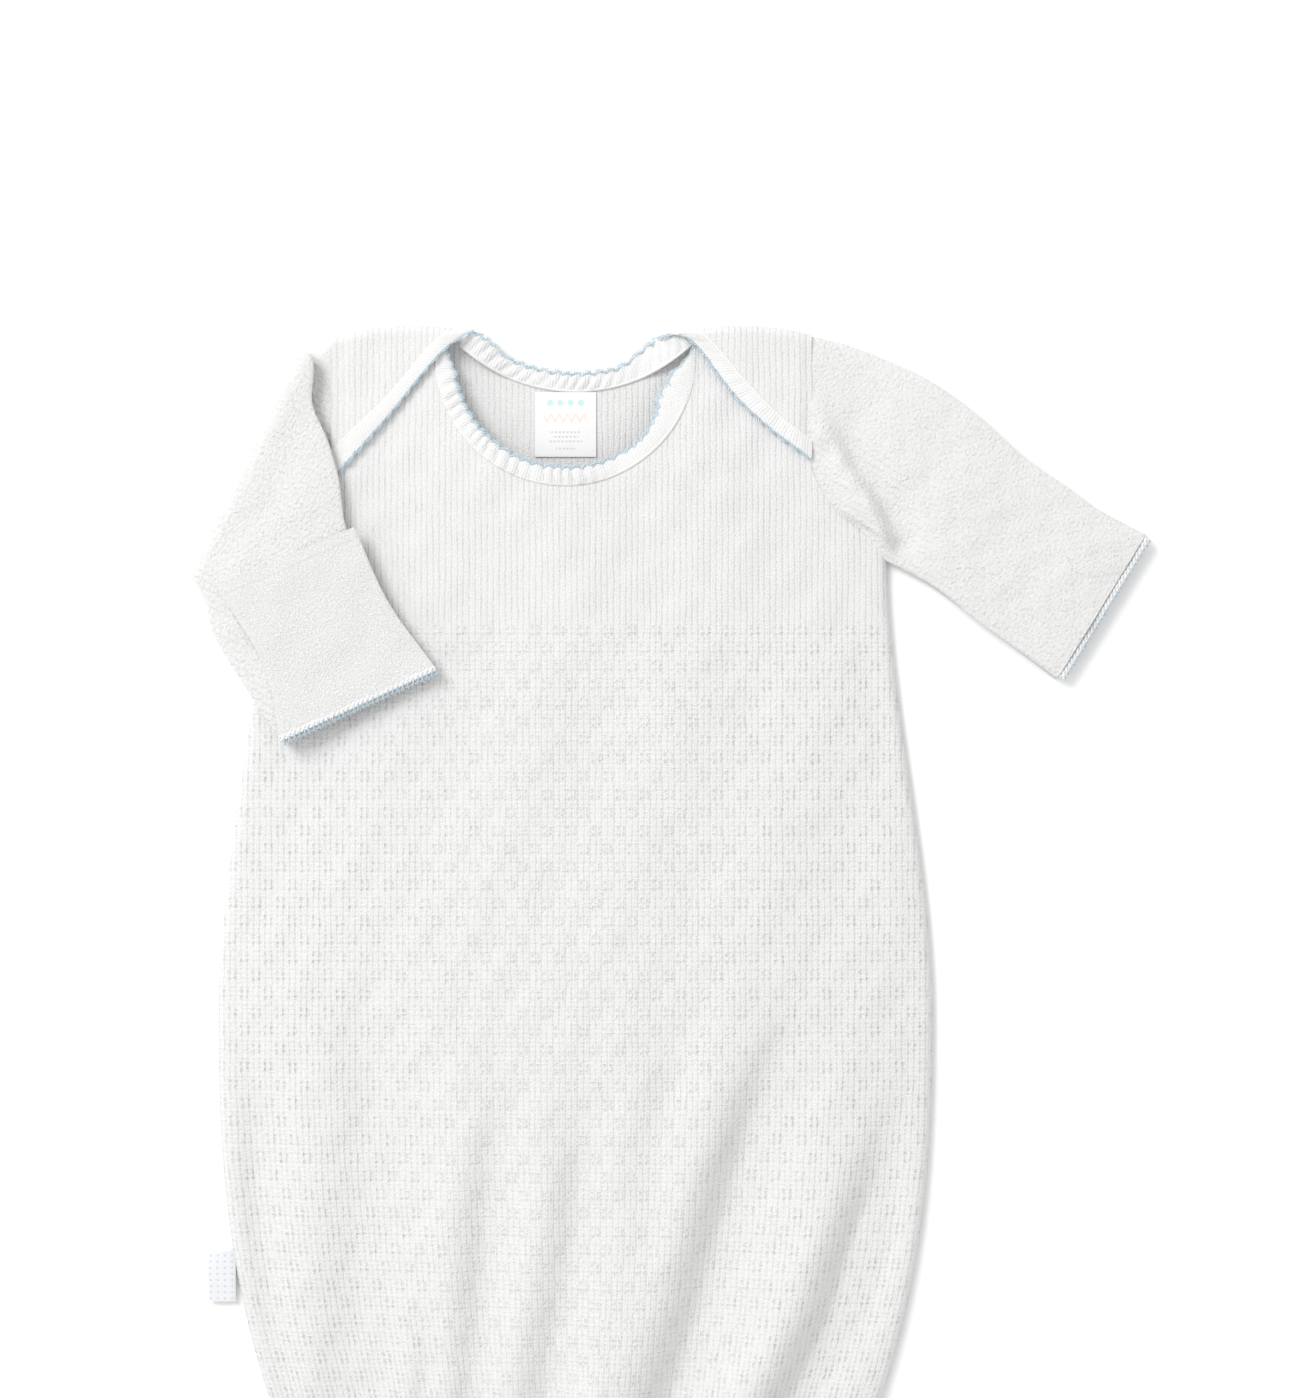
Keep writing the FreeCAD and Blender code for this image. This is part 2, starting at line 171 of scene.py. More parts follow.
floor_mesh = bpy.data.meshes.new("studio_floor")
floor_mesh.from_pydata([(-4, -4, 0), (4, -4, 0), (4, 4, 0), (-4, 4, 0)], [], [(0, 1, 2, 3)])
studio_floor = bpy.data.objects.new("studio_floor", floor_mesh)
studio_floor.location.z = cad_box[0][2] - 0.4 * millimetre
bpy.context.scene.collection.objects.link(studio_floor)
floor_finish = Finish("pale_floor", Roughness=0.9)
floor_spot = floor_finish.add("ShaderNodeTexCoord", {}, {}, 3)
floor_cloud = floor_finish.add("ShaderNodeTexNoise", {}, {"Vector": floor_spot, "Scale": 3.0})
floor_finish.feed(
    floor_finish.shader.inputs["Base Color"],
    floor_finish.mix(floor_cloud, (0.93, 0.93, 0.93, 1), (0.95, 0.95, 0.95, 1)),
)
floor_mesh.materials.append(floor_finish.material)

room = bpy.data.worlds.new("white_room")
room.use_nodes = True
room.node_tree.nodes["Background"].inputs[0].default_value = (1.0, 1.0, 1.0, 1)
room.node_tree.nodes["Background"].inputs[1].default_value = 0.87
bpy.context.scene.world = room
bpy.context.scene.view_settings.view_transform = "Standard"

window_light = bpy.data.lights.new("window_light", "AREA")
window_light.shape = "DISK"
window_light.size = 1.7
window_light.energy = 78.0
window = bpy.data.objects.new("window_light", window_light)
window.location = (-1.95, 1.75, 2.5)
window.rotation_euler = (Vector((0, -0.1, 0)) - window.location).to_track_quat("-Z", "Y").to_euler()
bpy.context.scene.collection.objects.link(window)

camera_lens = bpy.data.cameras.new("overhead_camera")
camera_lens.lens = 80.0
view_height = 0.5452
view_centre = Vector((0.0273, -0.0601, 0.010))
camera = bpy.data.objects.new("overhead_camera", camera_lens)
camera.location = view_centre + Vector((0, 0, view_height * camera_lens.lens / camera_lens.sensor_width))
bpy.context.scene.collection.objects.link(camera)
bpy.context.scene.camera = camera


# The back panel: white cotton rib knit from the hem up to the shoulder fold, with pointelle
# eyelets from the chest down. It lies flat, and its edges turn up into the side seams.
cloth = 1.2
chest_half, skirt_half, hem_half, shoulder_half = 122.0, 140.0, 76.0, 92.0
armhole_turn_y, widest_y, hem_y = 35.0, -185.0, -423.0
back_neck_y, back_seam_r = 127.2, 65.8
roll_radius = 3.7
panel_end_y = -411.0
tube_middle_z = 6.4
rib_pitch = 2.35
eyelet_top_y = -31.0
white_cotton = (0.77, 0.77, 0.765, 1)
# Grey mixed in as painted shade in the grooves, pits and low loops of the knits, and as random mottling on
# the bands and the jersey.
painted_shade_and_mottle = (0.60, 0.60, 0.59, 1)
# Painted shade inside the eyelets, which are holes in colour and relief only.
painted_eyelet_shade = (0.40, 0.40, 0.39, 1)


def ramp(value, start, stop):
    """Rises smoothly from 0 at start to 1 at stop."""
    share = np.clip((value - start) / (stop - start), 0.0, 1.0)
    return share * share * (3.0 - 2.0 * share)


def joined(*parts):
    """Points from their coordinates, each spread over the same grid."""
    return np.stack(np.broadcast_arrays(*parts), axis=-1)


def half_width(y):
    """Half the width of the laid-out body at height y."""
    y = np.asarray(y, float)
    turn = np.clip((armhole_turn_y - y) / armhole_turn_y, 0, 1)
    armhole = shoulder_half + (chest_half - shoulder_half) * turn ** 2
    skirt = chest_half + (skirt_half - chest_half) * ramp(y, 0.0, widest_y)
    drawn_in = np.clip((widest_y - y) / (widest_y - hem_y), 0, 1)
    lower = skirt_half - (skirt_half - hem_half) * drawn_in ** 2.5
    return np.where(y > 0, armhole, np.where(y > widest_y, skirt, lower))


def fold_y(x):
    """Height of the shoulder fold over the body's width."""
    return 86.3 - 3.5 * ((np.abs(x) - 64.0) / 28.0) ** 2


def smooth_noise(x, y, size, seed):
    """Soft unevenness between about -1 and 1, made of a few crossed waves."""
    draw = np.random.default_rng(seed)
    total = 0.0
    for _ in range(6):
        turn, phase = draw.uniform(0, 2 * math.pi, 2)
        pace = draw.uniform(0.7, 1.4) * 2 * math.pi / size
        total = total + np.sin(pace * (x * math.cos(turn) + y * math.sin(turn)) + phase)
    return total / 3.0


def outward(grid, wrap=False):
    """Unit normals of a grid of points."""
    if wrap:
        ring = np.concatenate([grid[:, -1:], grid, grid[:, :1]], axis=1)
        across = (ring[:, 2:] - ring[:, :-2]) / 2
    else:
        across = np.gradient(grid, axis=1)
    along = np.gradient(grid, axis=0)
    normal = np.cross(across, along)
    return normal / np.maximum(np.linalg.norm(normal, axis=2, keepdims=True), 1e-9)


def piece(name, points, faces, finish, grain):
    """Object from points in millimetres, shaded smooth, with its faces turned outwards."""
    mesh = bpy.data.meshes.new(name)
    mesh.from_pydata((np.asarray(points) * millimetre).tolist(), [], faces)
    turned = bmesh.new()
    turned.from_mesh(mesh)
    bmesh.ops.recalc_face_normals(turned, faces=turned.faces)
    turned.to_mesh(mesh)
    turned.free()
    mesh.polygons.foreach_set("use_smooth", [True] * len(mesh.polygons))
    mesh.set_sharp_from_angle(angle=math.radians(62.0))
    places = np.zeros((len(points), 3), np.float32)
    places[:, :2] = np.asarray(grain)[:, :2]
    mesh.attributes.new("grain", "FLOAT_VECTOR", "POINT").data.foreach_set("vector", places.ravel())
    mesh.materials.append(finish.material)
    made = bpy.data.objects.new(name, mesh)
    bpy.context.scene.collection.objects.link(made)
    return made


def shell(name, top, bottom, grain, finish, wrap=False):
    """Closed piece of cloth between two grids of points, joined round its rim."""
    rows, columns = top.shape[:2]
    index = np.arange(rows * columns).reshape(rows, columns)
    if wrap:
        index = np.concatenate([index, index[:, :1]], axis=1)
    under = index + rows * columns

    def quads(a, b, c, d):
        return joined(a, b, c, d).reshape(-1, 4)

    faces = [
        quads(index[:-1, :-1], index[:-1, 1:], index[1:, 1:], index[1:, :-1]),
        quads(under[:-1, :-1], under[1:, :-1], under[1:, 1:], under[:-1, 1:]),
        quads(index[0, 1:], index[0, :-1], under[0, :-1], under[0, 1:]),
        quads(index[-1, :-1], index[-1, 1:], under[-1, 1:], under[-1, :-1]),
    ]
    if not wrap:
        faces.append(quads(index[:-1, 0], index[1:, 0], under[1:, 0], under[:-1, 0]))
        faces.append(quads(index[1:, -1], index[:-1, -1], under[:-1, -1], under[1:, -1]))
    points = np.concatenate([top.reshape(-1, 3), bottom.reshape(-1, 3)])
    places = np.concatenate([grain.reshape(-1, 2)] * 2)
    return piece(name, points, np.concatenate(faces).tolist(), finish, places)


def stand_in(made, body, node):
    """Puts a made piece on a body of the frame, in the place of one of its nodes."""
    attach(made, body)
    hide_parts(node)


def body_grid(top_of, columns, rows, start_y):
    """Plan points of a body panel, from the hem to its upper edge."""
    share = np.linspace(-1, 1, columns)[None, :]
    up = np.linspace(0, 1, rows)[:, None]
    upper_x = share * shoulder_half
    for _ in range(6):
        top_y = top_of(upper_x)
        upper_x = share * half_width(top_y)
    plain = start_y + (20.0 - start_y) * np.minimum(up / 0.82, 1.0)
    y = plain + (top_y - 20.0) * np.maximum(up - 0.82, 0.0) / 0.18
    x = share * half_width(y)
    return x, y


def body_grain(x, y):
    """Ribs run straight down the chest, and draw together with the skirt below its widest part."""
    across = np.where(y < widest_y, x / half_width(y) * skirt_half, x)
    return joined(across, y)


def rib_knit(name, eyelet_top):
    """Rib knit, with clusters of four eyelets in staggered rows below a height."""
    finish = Finish(name, Roughness=0.92, Sheen_Weight=0.05, Specular_IOR_Level=0.2)
    across, along = finish.place()
    wander = finish.speckle(across, along, 9.0, 2.5) * 1.6 + finish.speckle(across, along, 1.9, 1.4) * 0.7
    patches = finish.speckle(across, along, 6.0, 1.6)
    loops = finish.speckle(across, along, 0.8, 0.8, 3.0)
    down = eyelet_top - along
    below = down.between(-0.6, 0.6)
    course = (along + finish.speckle(across, along, 2.6, 0.6) * 1.5).wave(1.75)
    groove = (across + wander).wave(rib_pitch) ** 2.2
    groove = groove + (across + wander * 0.9).wave(rib_pitch / 2) ** 2 * 0.35
    groove = groove * (patches * 1.5 + 0.2) * (1 - course * (below * 0.22 + 0.2))
    jog = finish.speckle(across, along, 3.1, 0.8) * 1.5 - 0.75
    row = ((down + wander * 0.5) / 7.1).floor()
    in_row = down + wander * 0.5 - row * 7.1 - 3.2
    in_repeat = (across + wander + jog * 0.6 + (row % 2) * 4.75) % 9.5 - 4.75
    beside = abs(in_repeat) - 1.3
    slit = abs(in_row) - 1.25 + in_repeat * 0.12
    reach = (beside * beside * 1.7 + slit * slit) ** 0.5 + (loops - 0.5) * 1.5
    holes = (1 - reach.between(0.1, 1.15)) * below * (patches * 1.4 + 0.1)
    swell = in_repeat.wave(4.75) * in_row.wave(3.55) * below
    painted_highlight_specks = loops.between(0.52, 0.72)
    # Painted shade darkens the rib grooves, the low loops and the eyelets, and a painted highlight lightens
    # the tops of the raised loops.
    shade = finish.mix(groove * 0.36, white_cotton, painted_shade_and_mottle)
    shade = finish.mix((1 - loops.between(0.3, 0.6)) * 0.34, shade, painted_shade_and_mottle)
    shade = finish.mix(holes * 0.27, shade, painted_eyelet_shade)
    shade = finish.mix(painted_highlight_specks * 0.55, shade, (0.85, 0.85, 0.845, 1))
    finish.cover(shade, loops * 0.40 - groove * 0.17 - holes * 0.17 + swell * 0.12 + course * below * 0.05)
    return finish


white_knit = rib_knit("white_rib_knit", eyelet_top_y)


def back_top(x):
    arc = back_neck_y - np.sqrt(np.maximum(back_seam_r ** 2 - x ** 2, 0.0))
    return np.where(np.abs(x) < 60.0, np.minimum(arc, fold_y(x) - roll_radius), fold_y(x) - roll_radius)


back_x, back_y = body_grid(back_top, 141, 201, panel_end_y)
edge_lift = 0.8 * (1 - ramp(half_width(back_y) - np.abs(back_x), 0.0, 4.0)) * ramp(back_y, 20.0, 0.0)
drawn_up = tube_middle_z - 6.2 * (1 - np.minimum((back_x / half_width(back_y)) ** 2, 1.0)) ** 0.225
edge_lift = np.maximum(edge_lift, drawn_up * ramp(back_y, -370.0, -409.0))
back_low = joined(back_x, back_y, edge_lift)
back_high = back_low + np.array([0, 0, cloth])
back_panel = shell("back_panel_cloth", back_high, back_low, body_grain(back_x, back_y), white_knit)
stand_in(back_panel, "torso", "back_panel")


# The front panel: the same rib knit, lying loosely over the back. It is sewn to the back along
# its sides, and the skirt falls into long folds that run down into the gathered hem.
front_neck_x, front_neck_y, front_seam_r = -3.9, 74.1, 50.0
front_top_y = 80.0
skirt_folds = [  # points down the fold, depth, half width
    ([(-27, -180), (-33, -255), (-39, -333), (-30, -411)], 3.4, 8.5),
    ([(10, -185), (4, -230), (0, -275), (-12, -333), (-13, -411)], 3.6, 9.0),
    ([(88, -165), (80, -195), (68, -230), (56, -275), (46, -310), (34, -345), (20, -411)], 7.4, 11.5),
    ([(126, -200), (121, -240), (112, -272), (101, -304), (86, -333), (52, -411)], 7.2, 10.5),
    ([(-56, -262), (-58, -333), (-50, -411)], 2.4, 5.0),
    ([(17, -285), (14, -333), (6, -411)], 2.0, 5.0),
    ([(-78, -135), (-82, -255), (-88, -333), (-66, -411)], 2.8, 13.0),
    ([(42, -150), (36, -220), (28, -300), (20, -411)], 2.0, 11.0),
    ([(-124, -180), (-128, -255), (-120, -333), (-76, -411)], 3.4, 9.0),
]


def crown(y):
    """Height of the front panel over its seams on the centre line."""
    return 1.0 + 4.6 * ramp(y, 81.5, 25.0) + 3.4 * ramp(y, -70.0, -250.0)


def skirt_drape(x, y):
    """Folds of the skirt, as heights above or below the smooth panel."""
    total = 0.0
    for line, depth, spread in skirt_folds:
        line_y = np.array([point[1] for point in line][::-1], float)
        line_x = np.array([point[0] for point in line][::-1], float)
        off = x - np.interp(y, line_y, line_x)
        grown = ramp(y, line_y[-1], line_y[-1] - 90.0)
        steep, gentle = np.exp(-(off / (0.85 * spread)) ** 2), np.exp(-(off / (1.5 * spread)) ** 2)
        valley = np.where(off < 0, steep, gentle)
        ridge = np.exp(-((off + 1.8 * spread) / (1.1 * spread)) ** 2)
        total = total + grown * depth * (0.55 * ridge - valley)
    gathers = ramp(y, -340.0, -405.0) * np.sin(x / half_width(y) * 62.0 + 0.8 * np.sin(x / 17.0))
    return total + 1.2 * gathers


def front_low(x, y):
    """Underside of the front panel."""
    wide = half_width(y)
    inside = np.clip(wide - np.abs(x), 0, 4.5) / 4.5
    edge = np.sqrt(1 - (1 - inside) ** 2)
    edge = 1 - (1 - edge) * ramp(y, 25.0, 0.0)
    share = np.clip(x / half_width(np.minimum(y, 0.0)), -1, 1)
    rise = crown(y) * (1 - share ** 2)
    loose = ramp(wide - np.abs(x), 2.0, 14.0)
    drape = skirt_drape(x, y) + 0.6 * smooth_noise(x, y, 62.0, 3) + 0.22 * smooth_noise(x, y, 24.0, 4)
    level = np.maximum(1.3 + 2.2 * edge + rise + drape * loose, 1.25 + 0.4 * edge)
    drawn_up = tube_middle_z + 4.4 * (1 - np.minimum((x / wide) ** 2, 1.0)) ** 0.225 - 1.1
    return level + (drawn_up - level) * ramp(y, -365.0, -409.0) * 0.9


def front_top(x):
    off = x - front_neck_x
    arc = front_neck_y - np.sqrt(np.maximum((front_seam_r + 0.6) ** 2 - off ** 2, 0.0))
    return np.where(np.abs(off) < front_seam_r + 0.6, arc, front_top_y)


front_x, front_y = body_grid(front_top, 181, 251, panel_end_y)
front_under = joined(front_x, front_y, front_low(front_x, front_y))
front_over = front_under + np.array([0, 0, cloth])
front_panel = shell("front_panel_cloth", front_over, front_under, body_grain(front_x, front_y), white_knit)
stand_in(front_panel, "torso", "front_panel")


# Overlocked seam allowances inside the gown: narrow strips of edge wrapped in white thread. Those
# at the sides and the armholes keep the frame's shape. The sleeves' own are laid in their tubes.
seam_thread = Finish("overlock_thread", Roughness=0.85, Sheen_Weight=0.1, Specular_IOR_Level=0.25)
seam_spot = seam_thread.add("ShaderNodeTexCoord", {}, {}, 3)
seam_x, seam_y = [seam_thread.add("ShaderNodeSeparateXYZ", {}, {0: seam_spot}, axis) for axis in (0, 1)]
seam_loops = (seam_y * 1000.0 + seam_x * 400.0).wave(1.4)
# The darker grey is painted shade between the loops.
seam_shade = seam_thread.mix(seam_loops, (0.62, 0.62, 0.61, 1), (0.82, 0.82, 0.815, 1))
seam_thread.cover(seam_shade, seam_loops * 0.3)


def dress(node, finish):
    """Gives a piece of the frame its finish."""
    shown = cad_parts[node]
    shown.data.materials.clear()
    shown.data.materials.append(finish.material)


for side in ("left", "right"):
    dress(side + "_side_seam", seam_thread)
    dress(side + "_armhole_seam", seam_thread)


# The neck bands: strips of fine rib, gathered into puffs where they are sewn on. The back band
# is gathered all round, and the front band on the wearer's right only.
band_width = 5.9
puff_pitch = 4.7
neck_out_angle = 97.0

gathered_band = Finish("gathered_band", Roughness=0.92, Sheen_Weight=0.05, Specular_IOR_Level=0.2)
band_across, band_along = gathered_band.place()
band_ribs = (band_across + gathered_band.speckle(band_across, band_along, 5.0) * 0.8).wave(1.15) ** 1.5
band_loops = gathered_band.speckle(band_across, band_along, 0.7, 1.0, 3.0)
# Painted shade in the rib grooves, with random mottling from the loops.
band_shade = gathered_band.mix(band_ribs * 0.14 + band_loops * 0.35, (0.83, 0.83, 0.825, 1), painted_shade_and_mottle)
gathered_band.cover(band_shade, band_loops * 0.32 - band_ribs * 0.10)


def front_neck(angle, width):
    """Plan point of the front neckline: angle from the lowest point, and width in from the seam."""
    flare = np.interp(angle, [-98, -84, 46, 68, 80, 91, 98], [4.0, 0.0, 0.0, -4.2, -2.2, 4.5, 7.5])
    radius = front_seam_r - width + flare * np.clip(width / band_width, 0, 1.1)
    turn = np.radians(angle)
    return front_neck_x + radius * np.sin(turn), front_neck_y - radius * np.cos(turn)


def back_neck(angle, width):
    """Plan point of the back neckline."""
    radius = back_seam_r - width
    turn = np.radians(angle)
    x = radius * np.sin(turn)
    left_rise = 4.0 * ramp(x, 16.0, 30.0) * ramp(x, 44.0, 33.0)
    raised = left_rise + 2.2 * ramp(x, -26.0, -34.0) * ramp(x, -46.0, -36.0)
    y = back_neck_y - radius * np.cos(turn) + raised * np.clip(width / band_width, 0, 1.1)
    return x, np.minimum(y, fold_y(x) - 0.6 * ramp(x, 36.0, 40.0))


def along_puffs(length, width, lean):
    """How far round its row of puffs a point of a band lies: gathers are never quite even."""
    return length + lean * width + 0.9 * np.sin(length / 7.0) + 0.5 * np.sin(length / 2.9 + 1.0)


def puffed_band(name, place, level, angles, radius, puff, lean, finish, slack=0.0):
    """Strip of cloth along a curve, raised into puffs square to its edge."""
    angle = angles[:, None]
    width = np.linspace(-1.0, band_width, 13)[None, :]
    length = np.radians(angle) * radius
    swing = along_puffs(length, width, lean)
    lobe = np.abs(np.sin(math.pi * swing / puff_pitch)) ** 0.9
    lobe = lobe + 0.16 * np.sin(2 * math.pi * swing / 1.4 + width)
    strong = puff(angle) * (0.8 + 0.3 * np.sin(length / 5.3 + width * 0.35)) * np.ones_like(width)
    profile = np.sin(math.pi * np.clip((width + 1.4) / (band_width + 2.2), 0, 1)) ** 0.6
    x, y = place(angle, width + strong * 0.35 * lobe * ramp(width, 2.0, band_width))
    rise = strong * profile * lobe + slack * profile
    top = joined(x, y, level(x, y) + rise)
    bottom = joined(x, y, level(x, y) - 0.5 + 0.6 * rise)
    grain = joined(length, width)
    return shell(name, top, bottom, grain, finish)


def front_skin(x, y):
    return front_low(x, y) + cloth


def front_puff(angle):
    gathered = 0.86 * (1 - ramp(angle, 6.0, 34.0)) + 0.10
    return gathered * (1 - 0.75 * ramp(np.abs(angle), 74.0, 88.0))


front_angles = np.linspace(-neck_out_angle, neck_out_angle, 331)
front_band = puffed_band(
    "front_neck_band_cloth", front_neck, lambda x, y: front_skin(x, y) + 0.15, front_angles,
    front_seam_r, front_puff, 0.25, gathered_band, 0.5)
stand_in(front_band, "torso", "front_neck_band")


def back_rise(x, y):
    """The back band's level: flat at the middle, and up to the shoulder fold at its ends."""
    return cloth + 0.25 + 3.0 * ramp(np.abs(x), 24.0, 40.0)


back_angles = np.linspace(-43.0, 48.0, 231)
back_band = puffed_band(
    "back_neck_band_cloth", back_neck, back_rise, back_angles, back_seam_r - 4.0,
    lambda angle: 0.9 - 0.5 * ramp(angle, 4.0, 30.0), -0.55, gathered_band, 0.3)
stand_in(back_band, "torso", "back_neck_band")


# The raised seams between the bands and the panels: a rolled ridge of cloth and thread that
# follows each band's inner edge.
cord_finish = Finish("rolled_seam", Roughness=0.9, Sheen_Weight=0.05, Specular_IOR_Level=0.2)
cord_across, cord_along = cord_finish.place()
cord_twist = (cord_along + cord_across * 0.6).wave(1.3)
# Painted shade in the grooves of the twist.
cord_shade = cord_finish.mix(cord_twist * 0.18, (0.82, 0.82, 0.815, 1), painted_shade_and_mottle)
cord_finish.cover(cord_shade, cord_twist * -0.12)


def threads(name, paths, radius, finish, sides=6):
    """Round threads swept along paths of points, all in one piece."""
    points, faces, places = [], [], []
    turn = np.linspace(0, 2 * math.pi, sides, endpoint=False)
    for path in paths:
        path = np.asarray(path, float)
        ahead = np.gradient(path, axis=0)
        ahead /= np.linalg.norm(ahead, axis=1, keepdims=True)
        beside = np.cross(ahead, [0, 0, 1.0])
        beside /= np.maximum(np.linalg.norm(beside, axis=1, keepdims=True), 1e-9)
        above = np.cross(beside, ahead)
        ring = np.cos(turn)[None, :, None] * beside[:, None] + np.sin(turn)[None, :, None] * above[:, None]
        start = sum(len(part) for part in points)
        points.append((path[:, None] + radius * ring).reshape(-1, 3))
        run = np.concatenate([[0], np.cumsum(np.linalg.norm(np.diff(path, axis=0), axis=1))])
        around = np.broadcast_to(turn * radius, (len(path), sides))
        places.append(joined(around, run[:, None]).reshape(-1, 2))
        index = start + np.arange(len(path) * sides).reshape(-1, sides)
        nearby = np.roll(index, -1, axis=1)
        quads = np.stack([index[:-1], nearby[:-1], nearby[1:], index[1:]], axis=-1).reshape(-1, 4)
        faces += quads.tolist() + [index[0][::-1].tolist(), index[-1].tolist()]
    return piece(name, np.concatenate(points), faces, finish, np.concatenate(places))


def along_neck(place, level, angles, width, lift):
    x, y = place(angles, width)
    return joined(x, y, level(x, y) + lift)


front_seam = threads(
    "front_neck_seam_cord",
    [along_neck(front_neck, front_skin, np.linspace(-90, 68, 220), -0.4, 0.0)], 0.7, cord_finish, 8)
stand_in(front_seam, "torso", "front_neck_seam")

back_seam = threads(
    "back_neck_seam_cord",
    [along_neck(back_neck, back_rise, np.linspace(-41, 41, 160), -0.5, 0.0)], 0.65, cord_finish, 8)
stand_in(back_seam, "torso", "back_neck_seam")


# The crocheted edging: light blue thread worked over the edge of each band in small scallops,
# one to each puff, with a picot of loose thread between the stitches.
blue_thread = Finish("blue_crochet_thread", Roughness=0.7, Sheen_Weight=0.25, Specular_IOR_Level=0.3)
blue_across, blue_along = blue_thread.place()
blue_twist = (blue_along + blue_across * 1.2).wave(0.9)
blue_fleck = blue_thread.speckle(blue_across, blue_along, 1.6, 1.0, 3.0).between(0.35, 0.7)
blue_shade = blue_thread.mix(blue_fleck, (0.50, 0.68, 0.79, 1), (0.82, 0.88, 0.91, 1))
# The darker blue is painted shade in the grooves of the twist; the pale flecks are the thread's own colour.
blue_thread.cover(blue_thread.mix(blue_twist * 0.35, blue_shade, (0.44, 0.61, 0.74, 1)), blue_twist * -0.08)


def scallops(place, level, angles, radius, strong, lean, seed):
    """Two strands that cross in small stitches along a scalloped edge."""
    draw = np.random.default_rng(seed)
    length = np.radians(angles) * radius
    swing = along_puffs(length, band_width, lean)
    lobe = np.abs(np.sin(math.pi * swing / puff_pitch)) ** 0.7
    uneven = np.interp(length, np.linspace(length[0], length[-1], 60), draw.uniform(-0.25, 0.35, 60))
    strands = []
    for phase in (0.0, math.pi):
        loop = 2 * math.pi * length / 1.7 + phase + 5.0 * uneven
        width = band_width - 0.6 + (1.1 + 0.5 * strong) * lobe + 0.55 * np.sin(loop) + uneven
        x, y = place(angles + 0.35 * np.cos(loop), width)
        lift = strong * (0.2 + 0.6 * lobe) + 0.3 * np.cos(loop)
        strands.append(joined(x, y, level(x, y) + lift))
    return strands


fine_front = np.linspace(-neck_out_angle, neck_out_angle, 1000)
front_edging = threads(
    "front_neck_edging_thread",
    scallops(front_neck, lambda x, y: front_skin(x, y) + 0.5, fine_front, front_seam_r,
             front_puff(fine_front), 0.25, 11), 0.17, blue_thread, 5)
stand_in(front_edging, "torso", "front_neck_edging")

fine_back = np.linspace(-43.5, 39.0, 560)
back_edging = threads(
    "back_neck_edging_thread",
    scallops(back_neck, lambda x, y: back_rise(x, y) + 0.3, fine_back, back_seam_r - 4.0,
             0.9 + 0 * fine_back, -0.55, 12), 0.17, blue_thread, 5)
stand_in(back_edging, "torso", "back_neck_edging")


# The shoulder laps: the back panel's ends, rolled over the shoulders and laid on the front. Each
# ends in a slanting band with its blue edge, sewn on with a raised seam.
lap_gap = 0.8
lap_seams = {
    1: [(47.5, 85.2), (54.6, 78.0), (64.4, 66.4), (74.1, 55.8), (83.9, 46.8), (92.5, 40.5)],
    -1: [(48.5, 84.6), (57.0, 77.0), (68.0, 64.0), (77.0, 54.0), (85.0, 46.5), (95.5, 36.5)],
}
lap_edges = {
    1: [(33.0, 81.3), (38.0, 82.6), (43.0, 81.4), (49.0, 75.9), (55.6, 66.6), (63.6, 56.7), (74.5, 46.6),
        (92.3, 33.2)],
    -1: [(39.6, 84.6), (49.4, 77.6), (58.9, 67.6), (69.4, 54.4), (79.4, 42.6), (93.5, 26.6)],
}


def through(points, share):
    """Smooth curve through points, at shares of its length from 0 to 1."""
    knots = np.asarray(points, float)
    steps = np.linalg.norm(np.diff(knots, axis=0), axis=1)
    at = np.concatenate([[0], np.cumsum(steps)]) / steps.sum()
    slopes = np.gradient(knots, at, axis=0)
    share = np.asarray(share, float)
    cell = np.clip(np.searchsorted(at, share, side="right") - 1, 0, len(at) - 2)
    gap = at[cell + 1] - at[cell]
    t = ((share - at[cell]) / gap)[..., None]
    gap = gap[..., None]
    return ((2 * t ** 3 - 3 * t ** 2 + 1) * knots[cell] + (t ** 3 - 2 * t ** 2 + t) * gap * slopes[cell]
            + (3 * t ** 2 - 2 * t ** 3) * knots[cell + 1] + (t ** 3 - t ** 2) * gap * slopes[cell + 1])


def lap_skin(x, y):
    """Upper side of a lap, down over the shoulder fold at its top."""
    out = np.abs(x)
    flat = front_skin(x, y) + lap_gap + cloth + 0.5 * ramp(out, 88.0, 50.0) - 0.9 * ramp(out, 87.0, 92.5)
    over = np.clip((y - (fold_y(x) - roll_radius)) / roll_radius, 0, 1)
    return roll_radius + (flat - roll_radius) * np.sqrt(1 - over ** 2)


